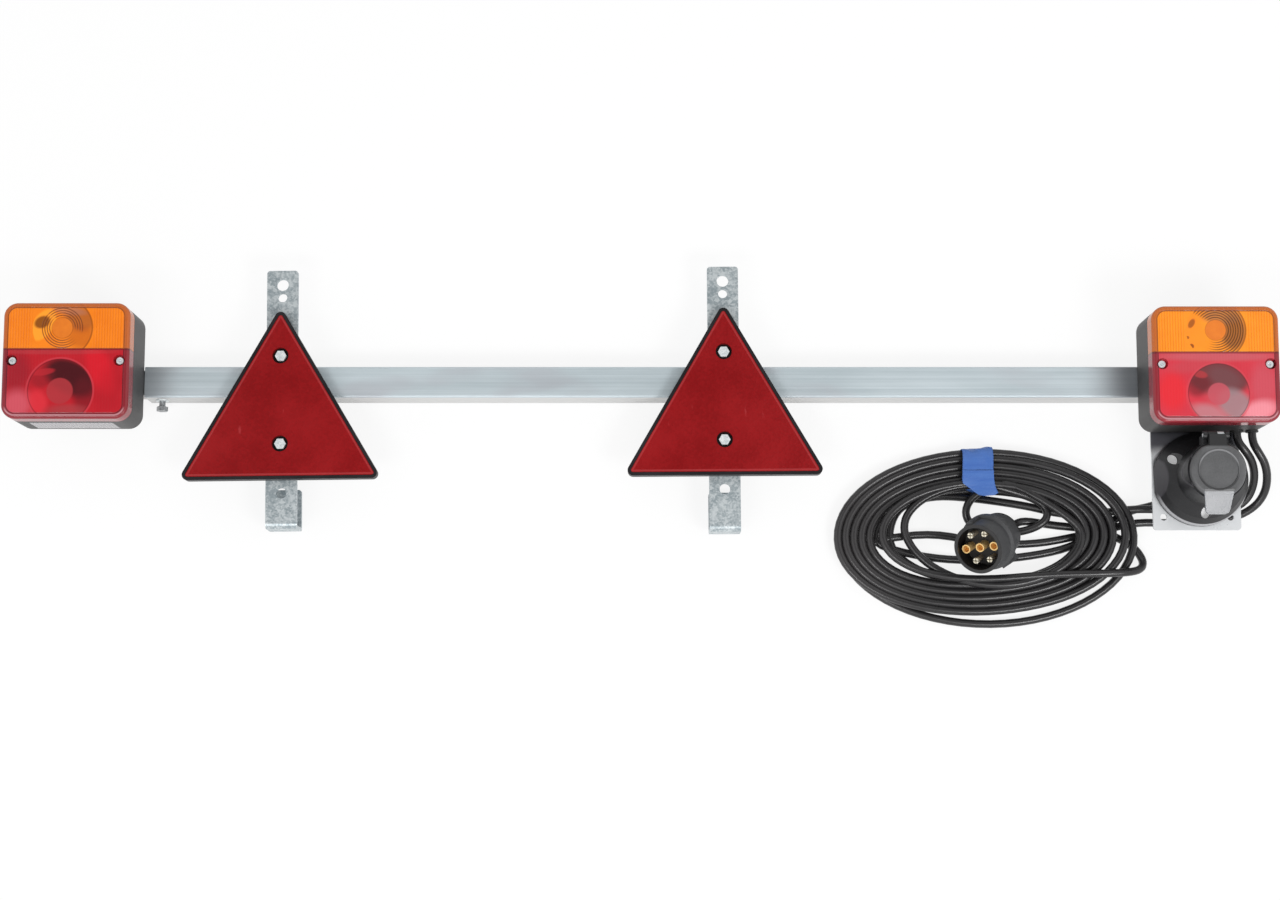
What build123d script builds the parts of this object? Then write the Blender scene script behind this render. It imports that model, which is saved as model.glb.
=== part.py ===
"""Trailer lighting board.

A telescopic square bar carries a combination lamp at each end and two triangular reflectors on hook-on
brackets. A perforated plate under the right lamp holds a seven-pin socket, and the lead lies coiled beside
it.

The board lies on its back on the floor, as it is stored. X runs along the bar, Y up the board and Z out of
its front. The origin is on the floor under the middle of the board. All sizes are in millimetres.
"""
from build123d import *
import os
from math import cos, radians, sin, sqrt, tan

# Board
board_length = 995.0            # outer side of one lamp to outer side of the other
sides = ("left", "right")
slip = 0.15                     # gap round a piece that drops into a pocket or over a spigot
thread_gap = 0.05               # gap between a screw thread and its nut or hole
hole_gap = 0.3                  # gap between a screw and the hole that it passes through

# Bar: an outer tube, and an arm that slides in it and carries the left lamp
tube_side = 25.0
tube_wall = 2.0
tube_corner = 1.5
arm_gap = 0.5                   # between the arm and the bore of the tube
arm_wall = 1.5
arm_length = 580.0
tube_past_lamp = 40.0           # how far each tube runs past the middle of its lamp
tube_lamp_gap = 0.5             # between the left lamp and the open end of the tube
cap_flange = 2.0
cap_depth = 10.0

# Clamp bolt that holds the arm
clamp_inset = 11.5              # from the open end of the tube
clamp_radius = 2.5
clamp_show = 5.5                # shank that shows between the tube and the bolt's head
clamp_tip_gap = 0.2
insert_radius = 3.6
insert_flange_radius = 5.0
insert_flange = 1.0

# Hexagon hardware, size M5
m5_radius = 2.5
m5_flats = 8.0
m5_head = 3.5
m5_nut = 4.0
bolt_tail = 1.5                 # thread that stands out of a nut

# Lamp
lamp_width = 99.0
lamp_height = 92.0
lamp_corner = 11.0
lamp_rise = {"left": 7.6, "right": 3.9}     # middle of the lamp above the bar's axis
base_depth = 34.0
base_wall = 2.5
base_back_edge = 3.0
divider = 1.6                   # wall between the amber and the red chamber
seal_thickness = 1.0
seal_width = 2.0
lens_depth = 13.0
lens_wall = 2.2
lens_edge = 2.5
colour_split = 9.1              # joint between the lenses, above the middle of the lamp
lens_screw_span = 84.0
lens_screw_radius = 1.6
lens_screw_head = 2.8
lens_screw_head_height = 2.4
lens_screw_length = 20.0
lens_screw_slot = 0.9
well_radius = 4.4
well_depth = 4.6
post_radius = 5.4
optic_depth = 0.9
amber_optic_y = 27.0
amber_disc = 7.8
amber_ring_pitch = 2.6
amber_ring_width = 1.2
amber_rings = 5
red_optic_y = -22.5
red_disc = 8.6
red_ring = 25.0
red_ring_width = 1.6
holder_radius = 8.6
holder_height = 12.0
holder_plate_radius = 12.0
holder_plate = 1.5
holder_floor = 2.0
bulb_cap = 7.4
bulb_globe = 10.0
bulb_rise = 11.0                # middle of the globe above its holder
fix_span = 53.2                 # between the two screws that hold a lamp
fix_radius = 2.4
fix_head = 3.5
fix_flats = 8.0
fix_length = 12.0
window_width = 66.0
window_height = 24.0
window_middle = 17.5            # height of the window's middle above the back of the lamp
window_flange = 2.0
window_flange_thickness = 1.2
cable_entry = (26.0, 38.0)      # cables into the right lamp, across from its middle
cable_entry_height = 10.5
grommet_radius = 5.0
grommet_lip = 1.2

# Brackets with reflectors: places across, skew and heights as clamped on the bar
bracket_inset = {"left": 210.4, "right": 430.4}     # from the board's end to the middle of the strip
bracket_skew = {"left": 0.7, "right": 0.4}          # degrees
bolt_rise = {"left": 19.3, "right": 22.7}           # upper bolt above the bar's axis
hook_reach = {"left": 67.2, "right": 72.7}          # lower bolt to the bottom of the hook
bolt_pitch = 71.2
strip_width = 25.0
strip_thickness = 3.0
strip_above_bolt = 71.2
strip_corner = 2.5
strip_hole_inset = (11.7, 22.2)
strip_hole_radius = (4.8, 3.65)
hook_hole_drop = 38.8           # below the lower bolt
hook_hole_radius = 4.3
hook_gap = 18.0
hook_leg = 34.0
bend_radius = 1.5
strap_thickness = 2.0
strap_gap = 0.6
strap_end = 8.0                 # strap past the middle of each bolt
reflector_side = 161.5
reflector_corner = 4.5
reflector_below_bolt = 28.7
reflector_floor = 3.0
reflector_rim = 2.5
reflector_rim_height = 8.0
reflector_lens_thickness = 4.5
reflector_pocket_radius = 6.5

# Plate under the right lamp, with the socket
plate_width = 70.0
plate_height = 126.0
plate_thickness = 2.0
plate_corner = 3.0
plate_top = 5.7                 # above the bar's axis
plate_shift = -4.4              # across from the middle of the right lamp
plate_hole_inset = 10.4
plate_hole_radius = 2.75
plate_cable_hole = 9.25
plate_upper_hole_drop = 35.7    # from the top of the plate to its upper large hole
socket_drop = 85.7              # from the top of the plate to the middle of the socket
socket_shift = 2.4              # across from the middle of the plate
gasket_thickness = 1.2
socket_radius = 37.6
socket_flat = 36.0              # from the socket's middle to the flat on its left
socket_flat_lean = 20.0         # degrees
socket_flange = 6.0
socket_shoulder_radius = 33.0
socket_shoulder = 14.0
socket_neck_radius = 23.0
socket_neck = 24.0
socket_height = 47.0
socket_bore_radius = 20.6
socket_bore_floor = 20.0
socket_back_radius = 15.0
socket_screw_circle = 28.0
socket_screw_angles = (150.0, 270.0, 30.0)
socket_screw_head = 4.5
socket_screw_head_height = 3.0
socket_insert_height = 8.0
contact_circle = 12.0
contact_sleeve = 3.5
contact_pin = 2.3
pin_slot = 0.8
contact_height = 11.0
sleeve_angles = (10.0, 190.0)
pin_angles = (70.0, 130.0, 250.0, 310.0)

relief_lip = 2.0
relief_wall = 1.5
relief_length = 5.0

# Lid of the socket
lid_radius = 21.6
lid_gap = 0.3
lid_thickness = 4.4
lid_edge = 2.4                  # rounding of its rim
lid_rim = 0.8                   # raised circle on the lid
lid_rim_outer = 16.0
lid_rim_inner = 15.0
tongue_top = 27.6
tongue_bottom = 18.0
tongue_length = 33.5            # from the lid's middle
tongue_thickness = 2.6
tongue_corner = 4.0
tongue_drop = 7.0               # from its root to its tip
hinge_y = 28.0                  # hinge pin from the socket's middle
hinge_height = 45.5             # hinge pin above the plate
hinge_barrel = 3.4
hinge_pin = 1.5
hinge_run = 0.08
hinge_width = 13.0
hinge_barrel_length = 7.0
ear_thickness = 3.0
ear_gap = 0.4
spring_radius = 2.95
spring_wire = 0.9
spring_turns = 5

# Plug
plug_nose_point = (263.6, -125.0, 55.0)
plug_heading = 214.0            # degrees, the way that its nose points over the floor
plug_pitch = 47.0               # degrees, nose up
plug_roll = 145.0               # degrees about its own axis
plug_nose_radius = 20.0
plug_nose_length = 17.0
plug_mouth_radius = 17.2
plug_mouth_depth = 14.0
plug_collar_radius = 22.5
plug_collar_length = 5.0
plug_body_radius = 20.5
plug_body_taper = 3.0
plug_body_end = 42.0            # from the nose
plug_shoulder = 4.0
plug_key_width = 5.0
plug_key_height = 2.2
plug_key_angle = 110.0          # degrees about its axis
plug_lug_angle = -55.0
plug_lug_width = 8.0
plug_lug_height = 3.5
gland_radius = 8.0
gland_tip_radius = 6.6
plug_length = 57.0
plug_insert_thickness = 6.0
plug_contact_length = 10.0
sleeve_wall = 0.9

# Cable and its coil
cable_diameter = 6.5
coil_middle = (278.5, -110.5)
coil_half = (125.0, 74.0)
coil_eye_middle = (277.5, -108.5)
coil_eye_half = (74.0, 34.5)
coil_height = 15.0
coil_edge = 5.0
tape_thickness = 0.5
tape_gap = 0.1
tape_middle = 270.25
tape_width = 26.5

# Heights and places that follow
bar_back = strap_thickness
bar_front = bar_back + tube_side
bar_middle = bar_back + tube_side / 2
arm_side = tube_side - 2 * tube_wall - 2 * arm_gap
arm_front = bar_middle + arm_side / 2
strip_front = bar_front + strip_thickness
plate_front = bar_front + plate_thickness
strip_reach = bolt_rise["right"] + strip_above_bolt
hook_depth = bolt_pitch + hook_reach["right"] - bolt_rise["right"]
bar_y = (hook_depth - strip_reach) / 2
lamp_x = {"left": -board_length / 2 + lamp_width / 2, "right": board_length / 2 - lamp_width / 2}
bracket_x = {"left": bracket_inset["left"] - board_length / 2,
             "right": board_length / 2 - bracket_inset["right"]}
lamp_back = {"left": arm_front, "right": plate_front}
tube_left = lamp_x["left"] + lamp_width / 2 + tube_lamp_gap
tube_right = lamp_x["right"] + tube_past_lamp
arm_left = lamp_x["left"] - tube_past_lamp
plate_x = lamp_x["right"] + plate_shift
plate_y = bar_y + plate_top - plate_height / 2
socket_x = plate_x + socket_shift
socket_y = bar_y + plate_top - socket_drop
lens_z = base_depth + seal_thickness
lamp_depth = lens_z + lens_depth
fix_x = {"left": lamp_x["left"], "right": plate_x}
fix_y = {"left": bar_y, "right": bar_y + plate_top - plate_hole_inset}
fix_wall = {"left": arm_wall, "right": tube_wall + plate_thickness}

nodes = {}


def drum(radius, low, high, x=0.0, y=0.0):
    """Upright cylinder between two heights."""
    return Pos(x, y, low) * Cylinder(radius, high - low, align=(Align.CENTER, Align.CENTER, Align.MIN))


def block(width, depth, low, high, x=0.0, y=0.0):
    """Upright box between two heights."""
    return Pos(x, y, low) * Box(width, depth, high - low, align=(Align.CENTER, Align.CENTER, Align.MIN))


def hexagon(flats, low, high, x=0.0, y=0.0):
    """Upright hexagonal prism with two flats square to Y."""
    outline = RegularPolygon(flats / 2, 6, major_radius=False, rotation=0)
    return Pos(x, y, low) * extrude(outline, high - low)


def turned(profile):
    """Solid of revolution about Z from (radius, height) points."""
    outline = make_face(Polyline(*[(radius, 0, height) for radius, height in profile], close=True))
    return revolve(outline, Axis.Z)


def group(*solids):
    """Several loose pieces kept in one node."""
    return Compound(children=[solid for solid in solids])


def square_tube(side, wall, left, length):
    """Square tube along X, on the bar's axis."""
    inner = side - 2 * wall
    section = RectangleRounded(side, side, tube_corner)
    section -= RectangleRounded(inner, inner, tube_corner / 2)
    return Pos(left, bar_y, bar_middle) * extrude(Plane.YZ * section, length)


def tube_cap(side, wall, end, outward):
    """Plastic plug in the end of a square tube, with a flange over the tube's edge."""
    spigot = side - 2 * wall - 2 * slip
    flange = extrude(Plane.YZ * RectangleRounded(side, side, tube_corner), cap_flange * outward)
    plug = extrude(Plane.YZ * RectangleRounded(spigot, spigot, tube_corner / 2), -cap_depth * outward)
    return Pos(end, bar_y, bar_middle) * (flange + plug)


def fixing_places(side):
    """Where the two screws that hold a lamp stand."""
    return [(fix_x[side] + half * fix_span / 2, fix_y[side]) for half in (-1, 1)]


def build_bar():
    """Outer tube, sliding arm, end caps, and the clamp bolt in its threaded insert."""
    tube = square_tube(tube_side, tube_wall, tube_left, tube_right - tube_left)
    arm = square_tube(arm_side, arm_wall, arm_left, arm_length)
    for x, y in fixing_places("right"):
        tube -= drum(fix_radius + thread_gap, bar_front - 2 * tube_wall, bar_front + slip, x, y)
    for x, y in fixing_places("left"):
        arm -= drum(fix_radius + thread_gap, arm_front - 2 * arm_wall, arm_front + slip, x, y)

    clamp_x = tube_left + clamp_inset
    under_tube = bar_y - tube_side / 2
    downward = Location((clamp_x, under_tube, bar_middle), (90, 0, 0))
    tube -= downward * drum(insert_radius + thread_gap, -2 * tube_wall, insert_flange)
    insert = drum(insert_radius, -tube_wall, 0) + drum(insert_flange_radius, 0, insert_flange)
    insert -= drum(clamp_radius + thread_gap, -2 * tube_wall, 2 * insert_flange)
    tip = -(tube_wall + arm_gap - clamp_tip_gap)
    bolt = drum(clamp_radius, tip, clamp_show) + hexagon(m5_flats, clamp_show, clamp_show + m5_head)

    nodes["outer_tube"] = tube
    nodes["sliding_arm"] = arm
    nodes["outer_tube_cap"] = tube_cap(tube_side, tube_wall, tube_right, 1)
    nodes["sliding_arm_cap"] = tube_cap(arm_side, arm_wall, arm_left, -1)
    nodes["clamp_insert"] = downward * insert
    nodes["clamp_bolt"] = downward * bolt


def lamp_outline(inset=0.0):
    """Rounded front outline of a lamp, set in by a distance."""
    return RectangleRounded(lamp_width - 2 * inset, lamp_height - 2 * inset, lamp_corner - inset)


def lens_screw_places():
    """Where the two lens screws stand, from the middle of the lamp."""
    return [(half * lens_screw_span / 2, 0.0) for half in (-1, 1)]


def lamp_base(side):
    """Moulded tray with screw posts, a divider, and holes for screws, cables or the window."""
    tray = fillet(extrude(lamp_outline(), base_depth).faces().sort_by(Axis.Z)[0].edges(), base_back_edge)
    tray -= Pos(0, 0, base_wall) * extrude(lamp_outline(base_wall), base_depth)
    tray += block(lamp_width - base_wall, divider, base_wall / 2, base_depth, 0, colour_split)
    for x, y in lens_screw_places():
        tray += drum(post_radius, base_wall / 2, lens_z, x, y)
        tray -= drum(lens_screw_radius + thread_gap, base_wall, lens_z + slip, x, y)
    for x, y in fixing_places(side):
        across = x - lamp_x[side]
        up = y - bar_y - lamp_rise[side]
        tray -= drum(fix_radius + hole_gap, -slip, 2 * base_wall, across, up)
    if side == "left":
        tray -= Pos(0, -lamp_height / 2, window_middle) * Box(window_width, 4 * base_wall, window_height)
    else:
        for x in cable_entry:
            tray -= lamp_bottom_hole(x, grommet_radius - grommet_lip, 2 * base_wall)
    return tray


def lamp_bottom_hole(x, radius, depth):
    """Cylinder through the bottom wall of a lamp, where a cable enters."""
    return Location((x, -lamp_height / 2, cable_entry_height), (90, 0, 0)) * Cylinder(radius, 2 * depth)


def lamp_lens():
    """Both lenses as one open shell, with a well for each screw."""
    shell = extrude(lamp_outline(), lens_depth)
    shell = fillet(shell.faces().sort_by(Axis.Z)[-1].edges(), lens_edge)
    solid = shell
    shell -= extrude(lamp_outline(lens_wall), lens_depth - lens_wall)
    for x, y in lens_screw_places():
        shell += drum(post_radius, 0, lens_depth, x, y) & solid
        shell -= drum(well_radius, lens_depth - well_depth, lens_depth + slip, x, y)
        shell -= drum(lens_screw_radius + hole_gap, -slip, lens_depth, x, y)
    return shell


def optic_ring(outer, inner, y):
    """Raised circle on the inner face of a lens."""
    low = lens_depth - lens_wall - optic_depth
    return drum(outer, low, lens_depth - lens_wall, 0, y) - drum(inner, low, lens_depth - lens_wall, 0, y)


def lamp_lenses():
    """Amber lens with ring optics above, red lens with a plain bull's-eye below."""
    shell = lamp_lens()
    room = extrude(lamp_outline(lens_wall), lens_depth - lens_wall)
    reach = lamp_height
    above = block(2 * lamp_width, reach, -slip, 2 * lens_depth, 0, colour_split + reach / 2)
    below = block(2 * lamp_width, reach, -slip, 2 * lens_depth, 0, colour_split - reach / 2)
    amber = shell & above
    for ring in range(amber_rings):
        outer = amber_disc + ring * amber_ring_pitch
        inner = outer - amber_ring_width
        amber += optic_ring(outer, inner, amber_optic_y) & room & above
    red = shell & below
    red += optic_ring(red_ring, red_ring - red_ring_width, red_optic_y) & room & below
    red += optic_ring(red_disc, red_disc - red_ring_width, red_optic_y)
    return amber, red


def lens_screws():
    """Two pan-head screws with cross slots, standing in the lens wells."""
    seat = lens_z + lens_depth - well_depth
    top = seat + lens_screw_head_height
    screws = []
    for x, y in lens_screw_places():
        screw = drum(lens_screw_radius, seat - lens_screw_length, seat, x, y)
        screw += drum(lens_screw_head, seat, top, x, y)
        for width, depth in ((lens_screw_head, lens_screw_slot), (lens_screw_slot, lens_screw_head)):
            screw -= block(width, depth, top - lens_screw_slot, top + slip, x, y)
        screws.append(screw)
    return group(*screws)


def bulb_parts():
    """A cup holder and a bulb for each chamber, standing on the floor of the lamp."""
    cup_top = base_wall + holder_height
    seat = base_wall + holder_floor
    holders = []
    bulbs = []
    for y in (amber_optic_y, red_optic_y):
        holder = drum(holder_plate_radius, base_wall, base_wall + holder_plate, 0, y)
        holder += drum(holder_radius, base_wall, cup_top, 0, y)
        holder -= drum(bulb_cap + slip, seat, cup_top + slip, 0, y)
        holders.append(holder)
        globe = Pos(0, y, cup_top + bulb_rise) * Sphere(bulb_globe)
        bulbs.append(globe + drum(bulb_cap, seat, cup_top + bulb_rise, 0, y))
    return group(*holders), bulbs


def fixing_screws(side):
    """Two hexagon-headed screws from inside a lamp into the front wall of its tube."""
    seat = lamp_back[side] + base_wall
    screws = []
    for x, y in fixing_places(side):
        screw = drum(fix_radius, seat - fix_length, seat, x, y)
        screws.append(screw + hexagon(fix_flats, seat, seat + fix_head, x, y))
    return group(*screws)


def number_plate_window():
    """Clear pane in the bottom wall of the left lamp, with a flange inside the wall."""
    outer = -lamp_height / 2
    pane = Box(window_width - 2 * slip, base_wall, window_height - 2 * slip)
    pane = Pos(0, outer + base_wall / 2, window_middle) * pane
    flange_width = window_width + 2 * window_flange
    flange_height = window_height + 2 * window_flange
    flange = Pos(0, outer + base_wall + window_flange_thickness / 2, window_middle)
    flange *= Box(flange_width, window_flange_thickness, flange_height)
    return pane + flange


def cable_grommets():
    """Rubber grommets in the bottom wall of the right lamp, each closed by its cable."""
    grommets = []
    for x in cable_entry:
        spigot = lamp_bottom_hole(x, grommet_radius - grommet_lip - slip, base_wall)
        spigot &= Pos(0, -lamp_height / 2 + base_wall / 2, 0) * Box(2 * lamp_width, base_wall, 2 * base_depth)
        mouth = Location((x, -lamp_height / 2, cable_entry_height), (90, 0, 0))
        grommets.append(spigot + mouth * drum(grommet_radius, 0, grommet_lip))
    return group(*grommets)


def build_lamp(side):
    """Every piece of one combination lamp."""
    place = Pos(lamp_x[side], bar_y + lamp_rise[side], lamp_back[side])
    amber, red = lamp_lenses()
    holders, (indicator, tail) = bulb_parts()
    seal = extrude(lamp_outline() - lamp_outline(seal_width), seal_thickness)
    name = side + "_lamp_"
    nodes[name + "base"] = place * lamp_base(side)
    nodes[name + "seal"] = place * Pos(0, 0, base_depth) * seal
    nodes[name + "amber_lens"] = place * Pos(0, 0, lens_z) * amber
    nodes[name + "red_lens"] = place * Pos(0, 0, lens_z) * red
    nodes[name + "lens_screws"] = place * lens_screws()
    nodes[name + "bulb_holders"] = place * holders
    nodes[name + "indicator_bulb"] = place * indicator
    nodes[name + "tail_bulb"] = place * tail
    nodes[name + "fixing_screws"] = fixing_screws(side)
    if side == "left":
        nodes[name + "plate_window"] = place * number_plate_window()
    else:
        nodes[name + "cable_grommets"] = place * cable_grommets()


def reflector_outline(inset=0.0):
    """Equilateral triangle with rounded corners, measured from the upper bolt and set in by a distance."""
    base = -bolt_pitch - reflector_below_bolt
    side = reflector_side - 2 * sqrt(3) * inset
    low = base + inset
    corners = [(-side / 2, low), (side / 2, low), (0, low + side * sqrt(3) / 2)]
    outline = make_face(Polyline(*corners, close=True))
    return fillet(outline.vertices(), max(reflector_corner - inset, reflector_corner / 4))


def bracket_strip(hook):
    """Flat strip with two fixing holes at its top and a hook bent back at its foot."""
    top = strip_above_bolt
    foot = -bolt_pitch - hook
    leg_front = bar_front - hook_gap
    leg_back = leg_front - strip_thickness
    inside = foot + strip_thickness
    leg_top = foot + hook_leg
    side_view = [(top, bar_front), (top, strip_front), (foot, strip_front), (foot, leg_back)]
    side_view += [(leg_top, leg_back), (leg_top, leg_front), (inside, leg_front), (inside, bar_front)]
    profile = make_face(Polyline(*side_view, close=True))
    corners = profile.vertices()
    outer_bends = [corner for corner in corners if abs(corner.X - foot) < slip]
    inner_bends = [corner for corner in corners if abs(corner.X - inside) < slip]
    profile = fillet(outer_bends, bend_radius + strip_thickness)
    profile = fillet([corner for corner in profile.vertices() if is_near(corner, inner_bends)], bend_radius)
    strip = Pos(-strip_width / 2, 0, 0) * extrude(Plane.YZ * profile, strip_width)
    for end in (top, leg_top):
        edges = [edge for edge in strip.edges().filter_by(Axis.Z) if abs(edge.center().Y - end) < slip]
        strip = fillet(edges, strip_corner)
    for inset, radius in zip(strip_hole_inset, strip_hole_radius):
        strip -= drum(radius, bar_front - slip, strip_front + slip, 0, top - inset)
    strip -= drum(hook_hole_radius, bar_front - slip, strip_front + slip, 0, -bolt_pitch - hook_hole_drop)
    return strip


def is_near(vertex, others):
    """Whether a vertex stands where one of the others stood."""
    return any((vertex.center() - other.center()).length < slip for other in others)


def clamp_strap(rise):
    """Strap bent round the back of the bar, with a flange at each bolt."""
    inner = tube_side / 2 + strap_gap
    outer = inner + strap_thickness
    seat = bar_front - strap_thickness
    high = strap_end
    low = -bolt_pitch - strap_end
    upper = -rise + inner
    lower = -rise - inner
    points = [(high, bar_front), (high, seat), (-rise + outer, seat), (-rise + outer, 0), (-rise - outer, 0)]
    points += [(-rise - outer, seat), (low, seat), (low, bar_front), (lower, bar_front), (lower, bar_back)]
    points += [(upper, bar_back), (upper, bar_front)]
    profile = make_face(Polyline(*points, close=True))
    bends = [corner for corner in profile.vertices() if abs(corner.Y) < slip]
    profile = fillet(bends, bend_radius + strap_thickness / 2)
    return Pos(-strip_width / 2, 0, 0) * extrude(Plane.YZ * profile, strip_width)


def build_bracket(side):
    """Strip, strap, reflector and bolts of one bracket, from its upper bolt, clamped askew on the bar."""
    rise = bolt_rise[side]
    place = Location((bracket_x[side], bar_y, 0), (0, 0, bracket_skew[side])) * Pos(0, rise, 0)
    strip = bracket_strip(hook_reach[side])
    strap = clamp_strap(rise)
    tray = extrude(reflector_outline(), reflector_rim_height)
    tray -= Pos(0, 0, reflector_floor) * extrude(reflector_outline(reflector_rim), reflector_rim_height)
    lens = extrude(reflector_outline(reflector_rim + slip), reflector_lens_thickness)
    bolts = []
    nuts = []
    seat = strip_front + reflector_floor
    strap_back = bar_front - strap_thickness
    for y in (0.0, -bolt_pitch):
        hole = drum(m5_radius + hole_gap, 0, seat, 0, y)
        strip -= hole
        strap -= hole
        tray -= drum(m5_radius + hole_gap, -slip, reflector_floor + slip, 0, y)
        lens -= drum(reflector_pocket_radius, -slip, reflector_lens_thickness + slip, 0, y)
        shank = drum(m5_radius, strap_back - m5_nut - bolt_tail, seat, 0, y)
        bolts.append(shank + hexagon(m5_flats, seat, seat + m5_head, 0, y))
        nut = hexagon(m5_flats, strap_back - m5_nut, strap_back, 0, y)
        nuts.append(nut - drum(m5_radius + thread_gap, 0, strap_back + slip, 0, y))
    name = side + "_bracket_"
    nodes[name + "strip"] = place * strip
    nodes[name + "clamp_strap"] = place * strap
    nodes[name + "bolts"] = place * group(*bolts)
    nodes[name + "nuts"] = place * group(*nuts)
    nodes[side + "_reflector_carrier"] = place * Pos(0, 0, strip_front) * tray
    nodes[side + "_reflector_lens"] = place * Pos(0, 0, strip_front + reflector_floor) * lens


def socket_screw_places():
    """Where the three socket screws stand, from the middle of the socket."""
    angles = [radians(angle) for angle in socket_screw_angles]
    return [(socket_screw_circle * cos(angle), socket_screw_circle * sin(angle)) for angle in angles]


def socket_plate():
    """Perforated plate, hung from the bar by its upper corner holes."""
    plate = extrude(RectangleRounded(plate_width, plate_height, plate_corner), plate_thickness)
    across = fix_span / 2
    up = plate_height / 2 - plate_hole_inset
    holes = [(half * across, row * up, plate_hole_radius) for half in (-1, 1) for row in (-1, 1)]
    holes.append((0, plate_height / 2 - plate_upper_hole_drop, plate_cable_hole))
    middle = (socket_shift, plate_height / 2 - socket_drop)
    holes.append((*middle, plate_cable_hole))
    for x, y in socket_screw_places():
        holes.append((middle[0] + x, middle[1] + y, m5_radius + hole_gap))
    for x, y, radius in holes:
        plate -= drum(radius, -slip, plate_thickness + slip, x, y)
    return Pos(plate_x, plate_y, bar_front) * plate


def socket_body():
    """Round socket housing with a domed shoulder, a flat on its left, screw pockets and ears for the lid."""
    low = gasket_thickness
    dome = [(0, low), (socket_radius, low), (socket_radius, socket_flange)]
    dome += [(socket_shoulder_radius, socket_shoulder), (socket_neck_radius + 1.5, socket_neck)]
    dome += [(socket_neck_radius, socket_height), (0, socket_height)]
    body = turned(dome)
    far = 2 * socket_radius
    flat = Box(far, far, far, align=(Align.MAX, Align.CENTER, Align.CENTER))
    body -= Pos(-socket_flat, 0, low) * Rot(0, socket_flat_lean, 0) * flat
    ear_x = hinge_width / 2 + ear_gap + ear_thickness / 2
    for half in (-1, 1):
        arm_low = hinge_height - hinge_barrel - 6
        ear = Pos(half * ear_x, hinge_y, hinge_height) * Rot(0, 90, 0) * Cylinder(hinge_barrel, ear_thickness)
        web = block(ear_thickness, hinge_y - 16, arm_low, hinge_height, half * ear_x, (hinge_y + 16) / 2)
        body += ear + web
    body -= drum(socket_bore_radius, socket_bore_floor, socket_height + slip)
    body -= drum(socket_back_radius, 0, socket_bore_floor + slip)
    room = drum(lid_radius + 1, socket_height, 2 * socket_height)
    body -= room
    body -= Pos(0, hinge_y, hinge_height) * Rot(0, 90, 0) * Cylinder(hinge_pin + thread_gap, far)
    for x, y in socket_screw_places():
        body -= drum(m5_radius + hole_gap, 0, socket_height, x, y)
        body -= drum(socket_screw_head + hole_gap, socket_flange, socket_neck, x, y)
    return body


def contacts(height, length):
    """Three sleeves and four pins of a seven-pin connector, on one face."""
    pieces = [(0.0, 0.0, contact_sleeve)]
    for angles, radius in ((sleeve_angles, contact_sleeve), (pin_angles, contact_pin)):
        for angle in angles:
            x = contact_circle * cos(radians(angle))
            y = contact_circle * sin(radians(angle))
            pieces.append((x, y, radius))
    solids = []
    for x, y, radius in pieces:
        solid = drum(radius, height, height + length, x, y)
        if radius == contact_sleeve:
            solid -= drum(radius - sleeve_wall, height + length / 4, height + length + slip, x, y)
        else:
            for width, depth in ((2 * radius, pin_slot), (pin_slot, 2 * radius)):
                solid -= block(width, depth, height + length / 2, height + length + slip, x, y)
        solids.append(solid)
    return group(*solids)


def socket_lid():
    """Round lid with a raised circle, a lifting tongue below and a hinge barrel above."""
    low = socket_height + lid_gap
    top = low + lid_thickness
    lid = drum(lid_radius, low, top)
    lid = fillet(lid.edges().group_by(Axis.Z)[-1], lid_edge)
    plan = make_face(Polyline((-tongue_top / 2, 0), (tongue_top / 2, 0), (tongue_bottom / 2, -tongue_length),
                              (-tongue_bottom / 2, -tongue_length), close=True))
    plan = fillet(plan.vertices().sort_by(Axis.Y)[:2], tongue_corner)
    tongue_room = extrude(plan, 2 * socket_height)
    tip = top - tongue_drop
    above = [(-lid_rim_inner, top), (-tongue_length, tip), (-tongue_length, 2 * top), (-lid_rim_inner, 2 * top)]
    lid -= tongue_room & extrude(Plane.YZ * make_face(Polyline(*above, close=True)), tongue_top, both=True)
    side_view = [(-lid_rim_inner, low), (-lid_rim_inner, top), (-tongue_length, tip)]
    side_view += [(-tongue_length, tip - tongue_thickness), (-lid_radius - tongue_thickness, low)]
    lid += tongue_room & extrude(Plane.YZ * make_face(Polyline(*side_view, close=True)), tongue_top, both=True)
    lid += drum(lid_rim_outer, top - lid_rim, top + lid_rim) - drum(lid_rim_inner, top - lid_rim, top + lid_rim)
    arm = block(hinge_width, hinge_y, low, top, 0, hinge_y / 2)
    barrel = Pos(-(hinge_width - hinge_barrel_length) / 2, hinge_y, hinge_height) * Rot(0, 90, 0)
    lid += arm
    lid += barrel * Cylinder(hinge_barrel, hinge_barrel_length)
    spring_room = hinge_width - hinge_barrel_length
    spring_side = Pos((hinge_width - spring_room) / 2, hinge_y, hinge_height)
    clearance = spring_radius + ear_gap
    lid -= spring_side * Rot(0, 90, 0) * Cylinder(clearance, spring_room)
    lid -= spring_side * Pos(0, clearance / 2, 0) * Box(spring_room, clearance, 4 * clearance)
    bore = Pos(0, hinge_y, hinge_height) * Rot(0, 90, 0) * Cylinder(hinge_pin + hinge_run, 2 * hinge_width)
    return lid - bore


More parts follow.
